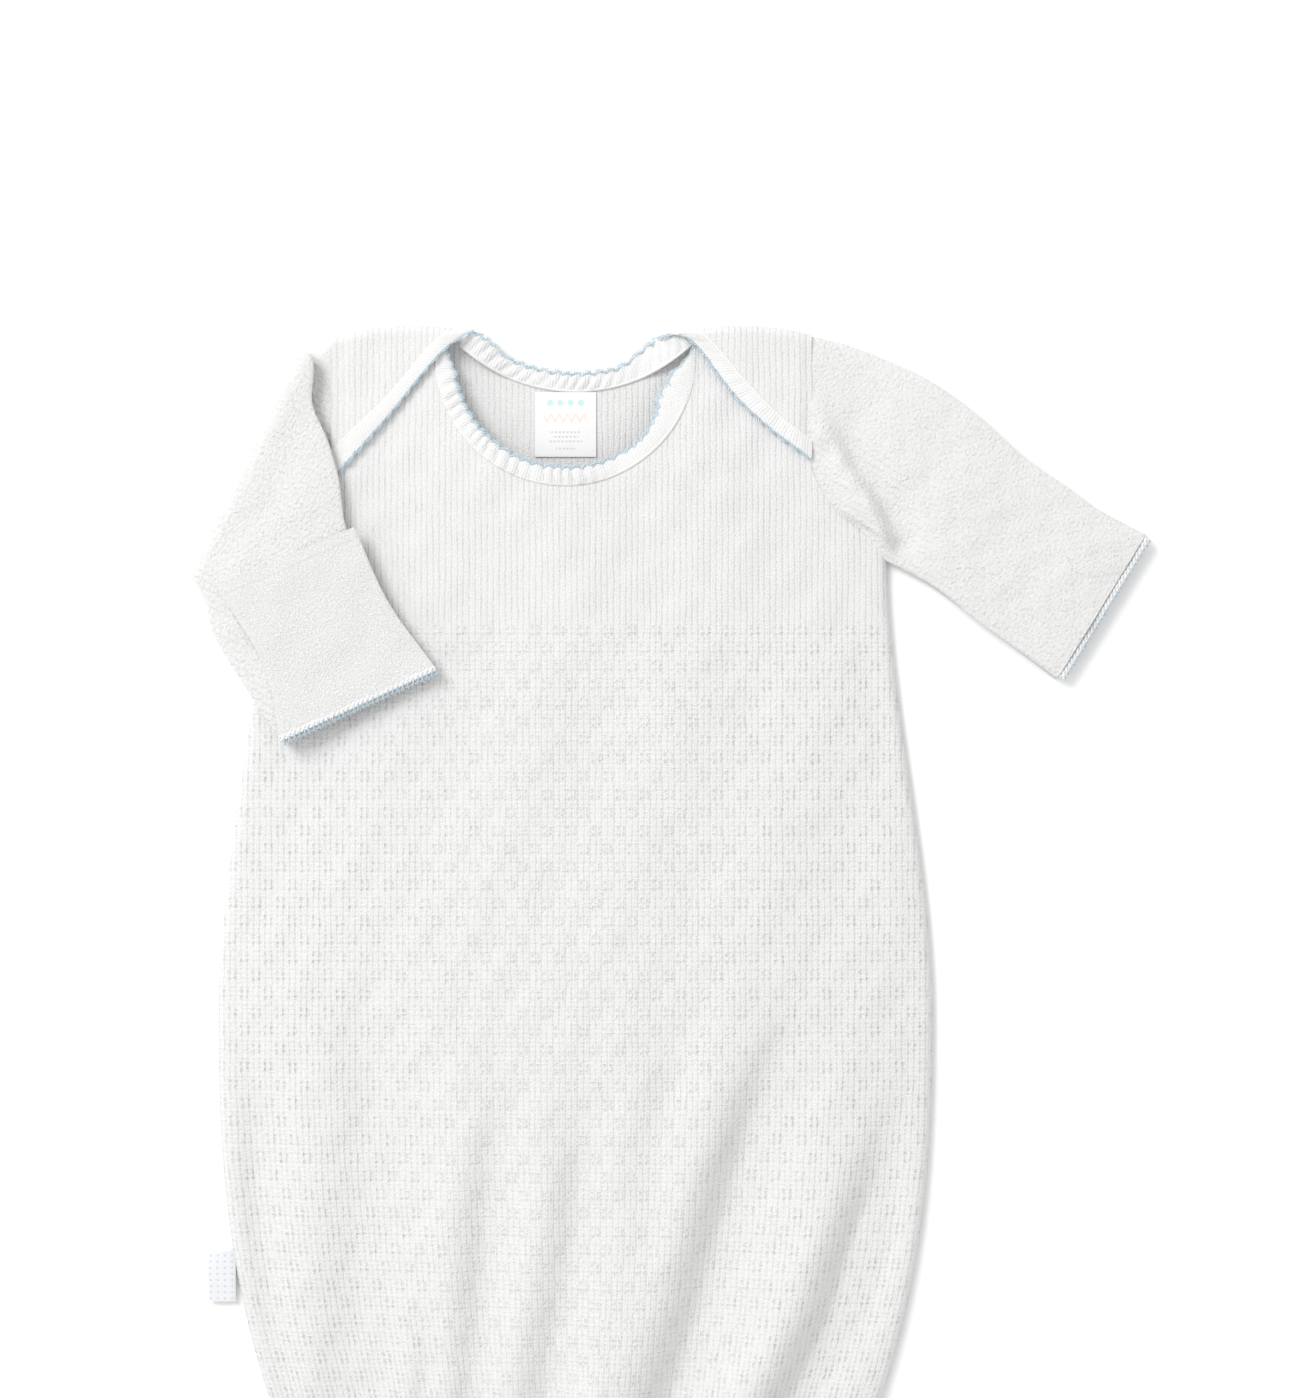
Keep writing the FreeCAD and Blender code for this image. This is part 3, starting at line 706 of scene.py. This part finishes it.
for side, word, arm_x in ((1, "left", 92.5), (-1, "right", 95.5)):
    seam_line = [(side * x, y) for x, y in lap_seams[side]]
    edge_line = [(side * x, y) for x, y in lap_edges[side]]
    share = np.linspace(0, 1, 61)
    seam_points = through(seam_line, share)
    fold_x = side * np.linspace(48.0, arm_x, 61)
    fold_points = joined(fold_x, fold_y(fold_x))
    under_turn = np.linspace(-90, 0, 9)[:-1]
    turned = [
        joined(fold_x, fold_y(fold_x) - roll_radius * (1 - math.cos(math.radians(angle))),
               roll_radius * (1 + math.sin(math.radians(angle))))
        for angle in under_turn
    ]
    laid = []
    for down in np.linspace(0, 1, 34) ** 2:
        plan = fold_points + (seam_points - fold_points) * down
        height = lap_skin(plan[:, 0], plan[:, 1])
        laid.append(joined(plan[:, 0], plan[:, 1], height))
    lap_over = np.stack(turned + laid)
    normal = outward(lap_over) * (-side)
    lap_under = lap_over - normal * cloth
    steps = np.linalg.norm(np.diff(lap_over, axis=0), axis=2)
    run = np.concatenate([np.zeros((1, 61)), np.cumsum(steps, axis=0)])
    lap_grain = joined(lap_over[..., 0], 90.0 - run)
    lap = shell(word + "_shoulder_lap_cloth", lap_over, lap_under, lap_grain, white_knit)
    stand_in(lap, "torso", word + "_shoulder_lap")

    cord_sunk = 0.15 if side > 0 else 0.4
    cord_height = lap_skin(seam_points[:, 0], seam_points[:, 1]) - cord_sunk
    cord_path = joined(seam_points[:, 0], seam_points[:, 1], cord_height)
    lap_seam = threads(word + "_lap_seam_cord", [cord_path[1:]], 0.65, cord_finish, 8)
    stand_in(lap_seam, "torso", word + "_lap_seam")

    share = np.linspace(0, 1, 141)
    inner, outer = through(seam_line, share), through(edge_line, share)
    across = np.linspace(0.03, 0.9, 10)[None, :, None]
    plan = inner[:, None] * (1 - across) + outer[:, None] * across
    run = share * 62.0
    lobe = np.abs(np.sin(math.pi * run / puff_pitch))[:, None]
    profile = np.sin(math.pi * np.linspace(0.12, 0.92, 10))[None, :] ** 0.6
    rise = profile * (0.35 + (0.20 if side > 0 else 0.05) * lobe)
    level = lap_skin(plan[..., 0], plan[..., 1])
    band_over = np.dstack([plan, level + rise])
    band_under = np.dstack([plan, level - 0.9 + 0.4 * rise])
    band_grain = joined(run[:, None], across[:, :, 0] * 7.0)
    lap_band = shell(word + "_lap_band_cloth", band_over, band_under, band_grain, gathered_band)
    stand_in(lap_band, word + "_lap_edge", word + "_lap_band")

    share = np.linspace(0, 1, 620)
    inner, outer = through(seam_line, share), through(edge_line, share)
    run = share * 66.0
    lobe = np.abs(np.sin(math.pi * run / puff_pitch)) ** 0.7
    strands = []
    for phase in (0.0, math.pi):
        loop = 2 * math.pi * run / 1.7 + phase + 1.5 * np.sin(run / 1.9)
        reach = (0.90 + 0.10 * lobe + 0.07 * np.sin(loop) + 0.03 * np.sin(run * 1.3))[:, None]
        plan = inner * (1 - reach) + outer * reach
        lift = 0.1 + 0.3 * np.cos(loop)
        strands.append(np.column_stack([plan, lap_skin(plan[:, 0], plan[:, 1]) + lift]))
    lap_edging = threads(word + "_lap_edging_thread", strands, 0.18, blue_thread, 5)
    stand_in(lap_edging, word + "_lap_edge", word + "_lap_edging")


# The left sleeve: a tube of pebbly eyelet knit from the armhole to the cuff. It lies out flat,
# with its mitt under it, and rumples into a ridge where it leaves the armhole.
sleeve_knit = Finish("white_eyelet_knit", Roughness=0.92, Sheen_Weight=0.05, Specular_IOR_Level=0.2)
knit_across, knit_along = sleeve_knit.place()
knit_rows = (knit_across + sleeve_knit.speckle(knit_across, knit_along, 3.4, 0.7) * 3.2).wave(2.7)
knit_lumps = sleeve_knit.speckle(knit_across, knit_along, 1.5, 0.8, 2.0)
knit_loops = sleeve_knit.speckle(knit_across, knit_along, 0.65, 1.0, 2.0)
# Painted shade darkens the pits and the low loops, and a painted highlight lightens the tops of the raised
# loops.
knit_pits = (1 - knit_lumps.between(0.28, 0.46)) * (1 - knit_rows * 0.5)
knit_shade = sleeve_knit.mix(knit_pits * 0.5, (0.752, 0.750, 0.742, 1), painted_shade_and_mottle)
knit_shade = sleeve_knit.mix((1 - knit_loops.between(0.3, 0.6)) * 0.26, knit_shade, painted_shade_and_mottle)
knit_shade = sleeve_knit.mix(knit_loops.between(0.55, 0.75) * 0.5, knit_shade, (0.84, 0.835, 0.825, 1))
sleeve_knit.cover(knit_shade, knit_lumps * 0.66 + knit_loops * 0.34 + knit_rows * 0.2)


def flat_tube(turn, power):
    """Height round a flattened tube: 1 on top, -1 underneath."""
    return np.sign(np.sin(turn)) * np.abs(np.sin(turn)) ** power


def between_sides(a, b, inner, outer, near, far, corners):
    """Plan points between two long sides and two ends, at shares a across and b along."""
    near_inner, near_outer, far_inner, far_outer = corners
    return ((1 - a) * inner + a * outer + (1 - b) * near + b * far
            - (1 - a) * (1 - b) * near_inner - a * (1 - b) * near_outer
            - (1 - a) * b * far_inner - a * b * far_outer)


def sleeve_plan(arm_line, top_line, low_line, around, rows):
    """Plan points of a sleeve round its tube and down its length, with the turn and share of each."""
    turn = np.linspace(0, 2 * math.pi, around, endpoint=False)
    across = (1 - np.cos(turn)) / 2
    along = np.linspace(0, 1, rows)
    top = through(top_line, along)[:, None]
    low = through(low_line, along)[:, None]
    ends = np.sort(across)
    grid_across, grid_along = np.meshgrid(across, along)
    arm = through(arm_line, ends)[None]
    arm = np.stack([np.interp(across, ends, arm[0, :, axis]) for axis in (0, 1)], axis=-1)[None]
    first, last = through(arm_line, [0.0, 1.0])
    cuff_first, cuff_last = through(top_line, [1.0])[0], through(low_line, [1.0])[0]
    cuff = cuff_first + (cuff_last - cuff_first) * across[None, :, None]
    plan = between_sides(grid_across[..., None], grid_along[..., None], top, low, arm, cuff,
                         (first, last, cuff_first, cuff_last))
    return plan, turn[None, :], grid_along


armhole_y = np.array([82.4, 70.0, 55.0, 40.0, 28.0, 16.0, 5.0, -5.5])
left_arm_line = [(float(half_width(y)) - 2.2, y) for y in armhole_y]
left_top_line = [(90.8, 82.4), (105.0, 79.2), (119.0, 73.9), (137.7, 65.2), (154.0, 54.0), (175.5, 35.0),
                 (194.6, 21.6), (211.0, 10.2), (223.6, 4.6)]
left_low_line = [(121.0, -5.5), (140.8, -16.2), (156.8, -29.0), (175.5, -42.3), (188.8, -52.0)]
plan, turn, along = sleeve_plan(left_arm_line, left_top_line, left_low_line, 96, 72)
swell = flat_tube(turn, 0.62)
loft = 6.2 - 1.2 * along
base = 1.7 * ramp(along, 0.1, 0.42)
x, y = plan[..., 0], plan[..., 1]
crest_x = np.interp(y, [-8, 3, 11, 21.5, 31, 56], [121.5, 121, 118, 112, 105, 93])
off = x - crest_x
crest = np.where(off < 0, np.exp(-(off / 9.0) ** 2), np.exp(-(off / 3.2) ** 2))
crest = crest - 0.42 * np.exp(-((off - 9.0) / 7.0) ** 2)
wales = np.where(off < 1, np.sin((y + 0.7 * x) * 1.75), 0.0) * ramp(off, -18.0, -8.0)
rumple = (4.9 * crest + 0.35 * wales) * ramp(y, 60.0, 30.0) * ramp(y, -8.0, 2.0)
rumple = rumple + 0.5 * smooth_noise(x, y, 34.0, 8) + 0.25 * smooth_noise(x, y, 13.0, 9)
upper = np.clip(np.sin(turn), 0, 1) ** 0.8
raised = 1.0 * ramp(along, 0.2, 0.0) * ramp(y, 34.0, 44.0)
height = base + loft * (0.5 + 0.5 * swell) + (rumple + raised) * upper
rim_level = front_skin(x[0], y[0]) - 0.35
sewn_in = ramp(along, 0.10, 0.0) * ramp(y, 42.0, 34.0) * ramp(swell, 0.0, 0.4)
height = height + (rim_level - height) * sewn_in
outer_skin = joined(x, y, height)
inner_skin = outer_skin - outward(outer_skin, True) * 1.0
lay = math.radians(-32.8)
grain = joined(-x * math.sin(lay) + y * math.cos(lay), x * math.cos(lay) + y * math.sin(lay))


def underarm_seam(name, body, skin):
    """Overlocked seam just inside the lower edge of a sleeve's tube."""
    edge, middle = skin[:, skin.shape[1] // 2], skin.mean(axis=1)
    seam = threads(name + "_cord", [edge + 0.08 * (middle - edge)], 0.5, seam_thread)
    stand_in(seam, body, name)


underarm_seam("left_sleeve_seam", "left_sleeve", outer_skin[26:-1])
left_sleeve = shell("left_sleeve_cloth", outer_skin, inner_skin, grain, sleeve_knit, True)
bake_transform(left_sleeve)
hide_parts("left_sleeve", "left_sleeve_head")


# The right sleeve: the same tube, folded up over the chest along a line outside the armhole, so
# that its back shows. The cloth rolls over softly at the fold.
fold_first = np.array([-110.4, 73.7])
fold_run = np.array([-0.4434, -0.8964])
fold_out = np.array([-0.8964, 0.4434])
fold_inset = 6.4
fold_radius = 4.4
half_turn = math.pi * fold_radius
head_middle_z = 2.7


def from_fold(points):
    """Distances of plan points past the fold line and along it."""
    off = np.asarray(points, float) - (fold_first - fold_inset * fold_out)
    return joined(off @ fold_out, off @ fold_run)


def folded_over(points):
    """The same for points beyond the roll, laid back over the chest."""
    past = from_fold(points)
    past[:, 0] = half_turn - past[:, 0]
    return past


right_arm_line = from_fold([(-(float(half_width(y)) - 1.2), y) for y in armhole_y])
right_top_line = np.concatenate([
    right_arm_line[:1], [(0.0, -5.0), (half_turn, -3.5)],
    folded_over([(-102.0, 54.0), (-96.4, 41.0), (-92.2, 27.0), (-89.2, 7.0), (-74.2, -21.6),
                 (-53.8, -48.4)])])
right_low_line = np.concatenate([
    right_arm_line[-1:], [(0.0, 94.0), (half_turn, 96.0)],
    folded_over([(-140.5, -35.0), (-128.0, -56.0), (-114.5, -76.2)])])
path, turn, _ = sleeve_plan(right_arm_line, right_top_line, right_low_line, 96, 110)
swell = flat_tube(turn, 0.62)
past, beside = path[..., 0], path[..., 1]
half_loft = 2.5 - 0.35 * ramp(np.abs(past - half_turn / 2), 14.0, 2.0)
lift = half_loft * swell
bend = np.clip(past, 0, half_turn) / fold_radius
reach = fold_radius - lift
out_by = np.where(past < 0, past, np.where(past > half_turn, half_turn - past, reach * np.sin(bend)))
height = head_middle_z + np.where(past < 0, lift, fold_radius - reach * np.cos(bend))
height = np.where(past > half_turn, head_middle_z + 2 * fold_radius - lift, height)
plan = (fold_first - fold_inset * fold_out) + out_by[..., None] * fold_out + beside[..., None] * fold_run
x, y = plan[..., 0], plan[..., 1]
laid_back = ramp(past, half_turn, half_turn + 12.0)
rumple = 0.45 * smooth_noise(x, y, 38.0, 15) + 0.2 * smooth_noise(x, y, 14.0, 16)
height = height + laid_back * rumple * np.clip(-swell, 0, 1)
crumple = 1.3 + 0.3 * np.sin(beside * 1.9 + 0.9 * np.sin(past * 0.6)) + 0.25 * smooth_noise(x, y, 11.0, 17)
height = height + crumple * ramp(past, -0.5, -4.5) * ramp(beside, 58.0, 40.0) * np.clip(swell, 0, 1)
outside = ramp(-x - half_width(y), 2.0, 26.0) * laid_back
height = height - 0.5 * outside
outer_skin = joined(x, y, height)
inner_skin = outer_skin + outward(outer_skin, True) * 1.0
grain = joined(beside, past)
beyond_fold = np.where(past[:, 48] > half_turn + 2.0)[0][:-1]
underarm_seam("right_sleeve_seam", "right_sleeve", outer_skin[beyond_fold])
right_sleeve = shell("right_sleeve_cloth", outer_skin, inner_skin, grain, sleeve_knit, True)
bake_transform(right_sleeve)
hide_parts("right_sleeve", "right_sleeve_head")


# The mitts: pockets of smooth double jersey, joined to each cuff and turned back over the sleeve.
# The free end has a narrow stitched hem.
jersey = Finish("smooth_jersey", Roughness=0.9, Sheen_Weight=0.06, Specular_IOR_Level=0.2)
jersey_across, jersey_along = jersey.place()
jersey_loops = (jersey_across + jersey.speckle(jersey_across, jersey_along, 4.0) * 0.5).wave(0.75)
jersey_cloud = jersey.speckle(jersey_across, jersey_along, 1.1, 1.0, 4.0)
# Painted shade in the grooves between the loops, random mottling from the cloud, and a painted highlight on
# the raised flecks.
jersey_shade = jersey.mix(jersey_loops * 0.16 + jersey_cloud * 0.5, (0.775, 0.775, 0.768, 1), painted_shade_and_mottle)
jersey_highlight_fleck = jersey.speckle(jersey_across, jersey_along, 0.8, 1.0, 2.0)
jersey_shade = jersey.mix(jersey_highlight_fleck.between(0.5, 0.68) * 0.8, jersey_shade, (0.85, 0.85, 0.845, 1))
jersey.cover(jersey_shade, jersey_loops * -0.06 + jersey_cloud * 0.4 + jersey_highlight_fleck * 0.6)
mitt_length, mitt_hem_width = 62.0, 3.4


def mitt_pocket(name, near, far, outer_side, inner_side, level, thick, first, last):
    """Flat pocket between the cuff and the free end, over a range of its length."""
    across = (1 - np.cos(np.linspace(0, math.pi, 49))) / 2
    along = np.linspace(first, last, max(int(60 * (last - first)), 4))
    start, stop = through(near, across)[None], through(far, across)[None]
    inner, outer = through(inner_side, along)[:, None], through(outer_side, along)[:, None]
    a, b = across[None, :, None], along[:, None, None]
    corners = (start[:, :1], start[:, -1:], stop[:, :1], stop[:, -1:])
    plan = between_sides(a, b, inner, outer, start, stop, corners)
    edge = np.clip(np.sin(np.linspace(0, math.pi, 49)), 0, 1)[None, :] ** 0.5
    x, y = plan[..., 0], plan[..., 1]
    wave = 0.25 * smooth_noise(x, y, 30.0, 21) + 0.12 * smooth_noise(x, y, 12.0, 22)
    low = level(x, y)
    top = np.dstack([plan, low + thick * (0.25 + 0.75 * edge) + wave * edge])
    bottom = np.dstack([plan, low + 0 * x])
    grain = joined(across[None, :] * 66.0, along[:, None] * mitt_length)
    return shell(name, top, bottom, grain, jersey)


right_cuff = [(-53.8, -48.4), (-84.1, -62.3), (-114.5, -76.2)]
right_free = [(-85.6, 6.8), (-103.0, -0.6), (-121.3, -8.8), (-139.6, -16.0)]
right_mitt_inner = [(-53.8, -48.4), (-73.2, -21.0), (-85.6, 6.8)]
right_mitt_outer = [(-114.5, -76.2), (-119.4, -51.0), (-139.6, -16.0)]
sleeve_top_z = head_middle_z + 2 * fold_radius + 2.5


def on_right_sleeve(x, y):
    return sleeve_top_z + 0.25 - 1.2 * ramp(-x - half_width(y), 2.0, 26.0)


def under_left_sleeve(x, y):
    return 0 * x


left_cuff_middle = np.array([206.6, -24.17])
left_run = np.array([math.cos(lay), math.sin(lay)])
left_cross = np.array([-math.sin(lay), math.cos(lay)])


def by_left_cuff(back, side):
    return tuple(left_cuff_middle - left_run * back + left_cross * side)


left_cuff = [by_left_cuff(0, 33.4), by_left_cuff(0, 0), by_left_cuff(0, -33.4)]
left_free = [by_left_cuff(mitt_length, 29), by_left_cuff(61, 10), by_left_cuff(61, -10),
             by_left_cuff(mitt_length, -29)]
left_mitt_inner = [by_left_cuff(0, 33.4), by_left_cuff(31, 31), by_left_cuff(mitt_length, 29)]
left_mitt_outer = [by_left_cuff(0, -33.4), by_left_cuff(31, -31), by_left_cuff(mitt_length, -29)]
hem_share = 1 - mitt_hem_width / mitt_length

mitts = (
    ("left", left_cuff, left_free, left_mitt_outer, left_mitt_inner, under_left_sleeve, 1.3),
    ("right", right_cuff, right_free, right_mitt_outer, right_mitt_inner, on_right_sleeve, 1.7),
)
for word, near, far, outer_side, inner_side, level, thick in mitts:
    mitt = mitt_pocket(word + "_mitt_jersey", near, far, outer_side, inner_side, level, thick, 0.0, hem_share)
    mitt_hem = mitt_pocket(
        word + "_mitt_hem_jersey", near, far, outer_side, inner_side, level, thick + 0.1,
        hem_share - 0.01, 1.0)
    for made, node in ((mitt, "_mitt"), (mitt_hem, "_mitt_hem")):
        stand_in(made, word + "_mitt", word + node)
    rests_on = studio_floor if word == "left" else right_sleeve


# The blue edging at the cuffs: one row round the sleeve's end and one on the mitt's fold. The
# left mitt's row is centred on the line that the mitt turns about.
def cuff_rows(first, last, out, low, span, seed):
    """Two white strands twisted together along a straight cuff, and a blue one looped over their edge."""
    draw = np.random.default_rng(seed)
    first, last, out = np.array(first), np.array(last), np.array(out)
    share = np.linspace(0.005, 0.995, 460)
    length = np.linalg.norm(last - first)
    run = share * length
    middle = (span[0] + span[1]) / 2
    uneven = np.interp(run, np.linspace(0, length, 40), draw.uniform(-0.2, 0.2, 40))
    cords = []
    for phase in (0.0, math.pi):
        loop = 2 * math.pi * run / 4.2 + phase + 2 * uneven
        plan = first + (last - first) * share[:, None] + out * (middle - 0.25 + 0.6 * np.sin(loop))[:, None]
        cords.append(np.column_stack([plan, low + 0.7 + 0.3 * np.cos(loop)]))
    loop = 2 * math.pi * run / 2.1 + 6 * uneven
    reach = span[1] - 0.75 + 0.75 * np.sin(loop) + uneven
    plan = first + (last - first) * share[:, None] + out * reach[:, None]
    return [np.column_stack([plan, low + 0.55 + 0.75 * np.cos(loop + 0.6)])], cords


right_out = np.array([0.4214, -0.9069])
right_rows = (
    ("right_sleeve", "right_sleeve_edging", -0.2, 2.4, head_middle_z + 2 * fold_radius + 1.0, 31),
    ("right_mitt", "right_mitt_edging", -1.6, 1.2, sleeve_top_z + 0.7, 32),
)
left_rows = (
    ("left_sleeve", "left_sleeve_edging", 0.2, 2.8, 4.2, 33),
    ("left_mitt", "left_mitt_edging", -0.9, 1.1, 0.75, 34),
)
for rows, first, last, out in (
    (right_rows, right_cuff[0], right_cuff[2], right_out),
    (left_rows, (223.2, 3.6), (189.2, -51.4), left_run),
):
    for body, node, start, stop, low, seed in rows:
        loops, core = cuff_rows(first, last, out, low, (start, stop), seed)
        row = threads(node + "_thread", loops, 0.34, blue_thread, 5)
        filling = threads(node + "_core", core, 0.58, cord_finish, 7)
        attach(row, body)
        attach(filling, body)
        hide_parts(node)


# The hem: the cloth of both panels folded up round a ring of elastic, which gathers it into
# close ruffles. The elastic itself stays hidden inside.
hem_low, hem_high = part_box("hem_casing")
hem_top_y = hem_high.y / millimetre + 1.5
hem_low_y = hem_low.y / millimetre
casing_half = hem_high.x / millimetre - 1.0
turn = np.linspace(0, 2 * math.pi, 360, endpoint=False)[None, :]
down = np.linspace(0, 1, 14)[:, None]
round_end = np.sqrt(np.clip(1 - np.clip((down - 0.75) / 0.25, 0, 1) ** 2, 0, 1))
ruffle = np.sin(turn * 46.0 + 0.7 * np.sin(turn * 7)) * (0.9 - 0.3 * down)
ring_half = (5.2 + ruffle * 0.8) * (0.55 + 0.45 * round_end)
ring_z = np.maximum(tube_middle_z + ring_half * flat_tube(turn, 0.45), 0.15)
ring_x = (casing_half + 0.4 * ruffle) * np.cos(turn)
ring_y = hem_top_y + (hem_low_y - hem_top_y) * down
hem_over = joined(ring_x, ring_y, ring_z)
hem_under = hem_over.copy()
hem_under[..., 0] *= (casing_half - 3.4) / casing_half
hem_under[..., 2] = tube_middle_z + (hem_under[..., 2] - tube_middle_z) * 0.42
hem_grain = joined(np.sin(turn / 2) * 330.0, hem_y + 12.0 * (1 - down))
below_the_hem = -900.0  # no eyelets in the hem's own cloth
hem_cloth = rib_knit("hem_knit", below_the_hem)
hem_casing = shell("hem_casing_cloth", hem_over, hem_under, hem_grain, hem_cloth, True)
stand_in(hem_casing, "torso", "hem_casing")

elastic = Finish("woven_elastic", Roughness=0.6, Specular_IOR_Level=0.3)
elastic_spot = elastic.add("ShaderNodeTexCoord", {}, {}, 3)
elastic_x = elastic.add("ShaderNodeSeparateXYZ", {}, {0: elastic_spot}, 0)
elastic_ribs = (elastic_x * 1000.0).wave(1.0)
# The darker grey is painted shade in the grooves between the ribs.
elastic.cover(elastic.mix(elastic_ribs, (0.75, 0.75, 0.74, 1), (0.55, 0.55, 0.54, 1)), elastic_ribs * -0.2)
dress("hem_elastic", elastic)


# The labels: a soft woven label sewn under the back neck seam, with a plain woven pattern of
# dots and lines, and a folded satin tab in the side seam.
woven_label = Finish("woven_label", Roughness=0.65, Sheen_Weight=0.1, Specular_IOR_Level=0.3)
label_across, label_along = woven_label.place()
weave = label_across.wave(0.5) * label_along.wave(0.5)
label_shade = woven_label.mix(weave, (0.85, 0.85, 0.85, 1), (0.78, 0.78, 0.785, 1))


def band_at(value, middle, half):
    return 1 - abs(value - middle).between(half, half + 0.25)


petal = (label_across % 4.0 - 2.0) ** 2 + (label_along - 21.2) ** 2
petals = (1 - petal.between(1.2, 1.9)) * band_at(label_across, 12.0, 7.9)
label_shade = woven_label.mix(petals * 0.75, label_shade, (0.48, 0.74, 0.72, 1))
ripple = label_along - 15.2 - (label_across.wave(3.2) - 0.5) * 2.4
label_shade = woven_label.mix(band_at(ripple, 0.0, 0.45) * band_at(label_across, 12.0, 8.2) * 0.7,
                              label_shade, (0.86, 0.66, 0.52, 1))
for line_y, line_half in ((9.6, 6.0), (7.8, 5.0), (6.0, 6.4), (3.2, 3.6)):
    dashes = (label_across + line_y * 0.7).wave(1.5).between(0.25, 0.45)
    line = band_at(label_along, line_y, 0.22) * band_at(label_across, 12.0, line_half)
    label_shade = woven_label.mix(line * dashes * 0.5, label_shade, (0.42, 0.42, 0.44, 1))
woven_label.cover(label_shade, weave * 0.06)

label_low, label_high = [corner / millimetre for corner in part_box("neck_label")]
width_share = np.linspace(0, 1, 33)[None, :]
drop_share = np.linspace(0, 1, 33)[:, None]
x = label_low.x + (label_high.x - label_low.x) * width_share + 0 * drop_share
y = label_low.y + (label_high.y - label_low.y) * drop_share + 0 * width_share
curl = 0.35 * np.sin(math.pi * width_share) * np.sin(math.pi * drop_share) + 0.25 * (1 - drop_share) ** 2
label_under = joined(x, y, label_low.z + curl + 0.05)
label_over = label_under + np.array([0, 0, 0.35])
label_grain = joined(x - label_low.x, y - label_low.y)
neck_label = shell("neck_label_woven", label_over, label_under, label_grain, woven_label)
stand_in(neck_label, "neck_label", "neck_label")

satin = Finish("satin_tab", Roughness=0.42, Sheen_Weight=0.1, Specular_IOR_Level=0.45)
satin_across, satin_along = satin.place()
satin_rows = (satin_across + satin_along).wave(0.6)
satin_dot = ((satin_across % 2.4 - 1.2) ** 2 + (satin_along % 2.4 - 1.2) ** 2).between(0.12, 0.3)
satin_shade = satin.mix(satin_rows * 0.3, (0.78, 0.785, 0.79, 1), (0.66, 0.67, 0.70, 1))
satin.cover(satin.mix((1 - satin_dot) * 0.5, satin_shade, (0.40, 0.50, 0.66, 1)), satin_rows * 0.05)
tab_low, tab_high = [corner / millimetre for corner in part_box("side_label")]
out_share = np.linspace(0, 1, 17)[None, :]
down_share = np.linspace(0, 1, 25)[:, None]
x = tab_high.x + 1.5 + (tab_low.x - tab_high.x - 1.5) * out_share + 0.25 * np.sin(7 * down_share) * out_share
y = tab_low.y + (tab_high.y - tab_low.y) * down_share + 0 * out_share
wall = 0.55 * np.sqrt(np.clip(1 - ((out_share - 0.5) / 0.5) ** 2, 0, 1)) + 0.12
lift = 0.5 * out_share ** 2 * np.sin(math.pi * down_share)
tab_over = joined(x, y, tab_low.z + 0.6 + lift + wall)
tab_under = joined(x, y, tab_low.z + 0.6 + lift - wall)
tab_grain = joined(out_share * 9.4, down_share * 19.0)
side_label = shell("side_label_satin", tab_over, tab_under, tab_grain, satin)
stand_in(side_label, "side_label", "side_label")
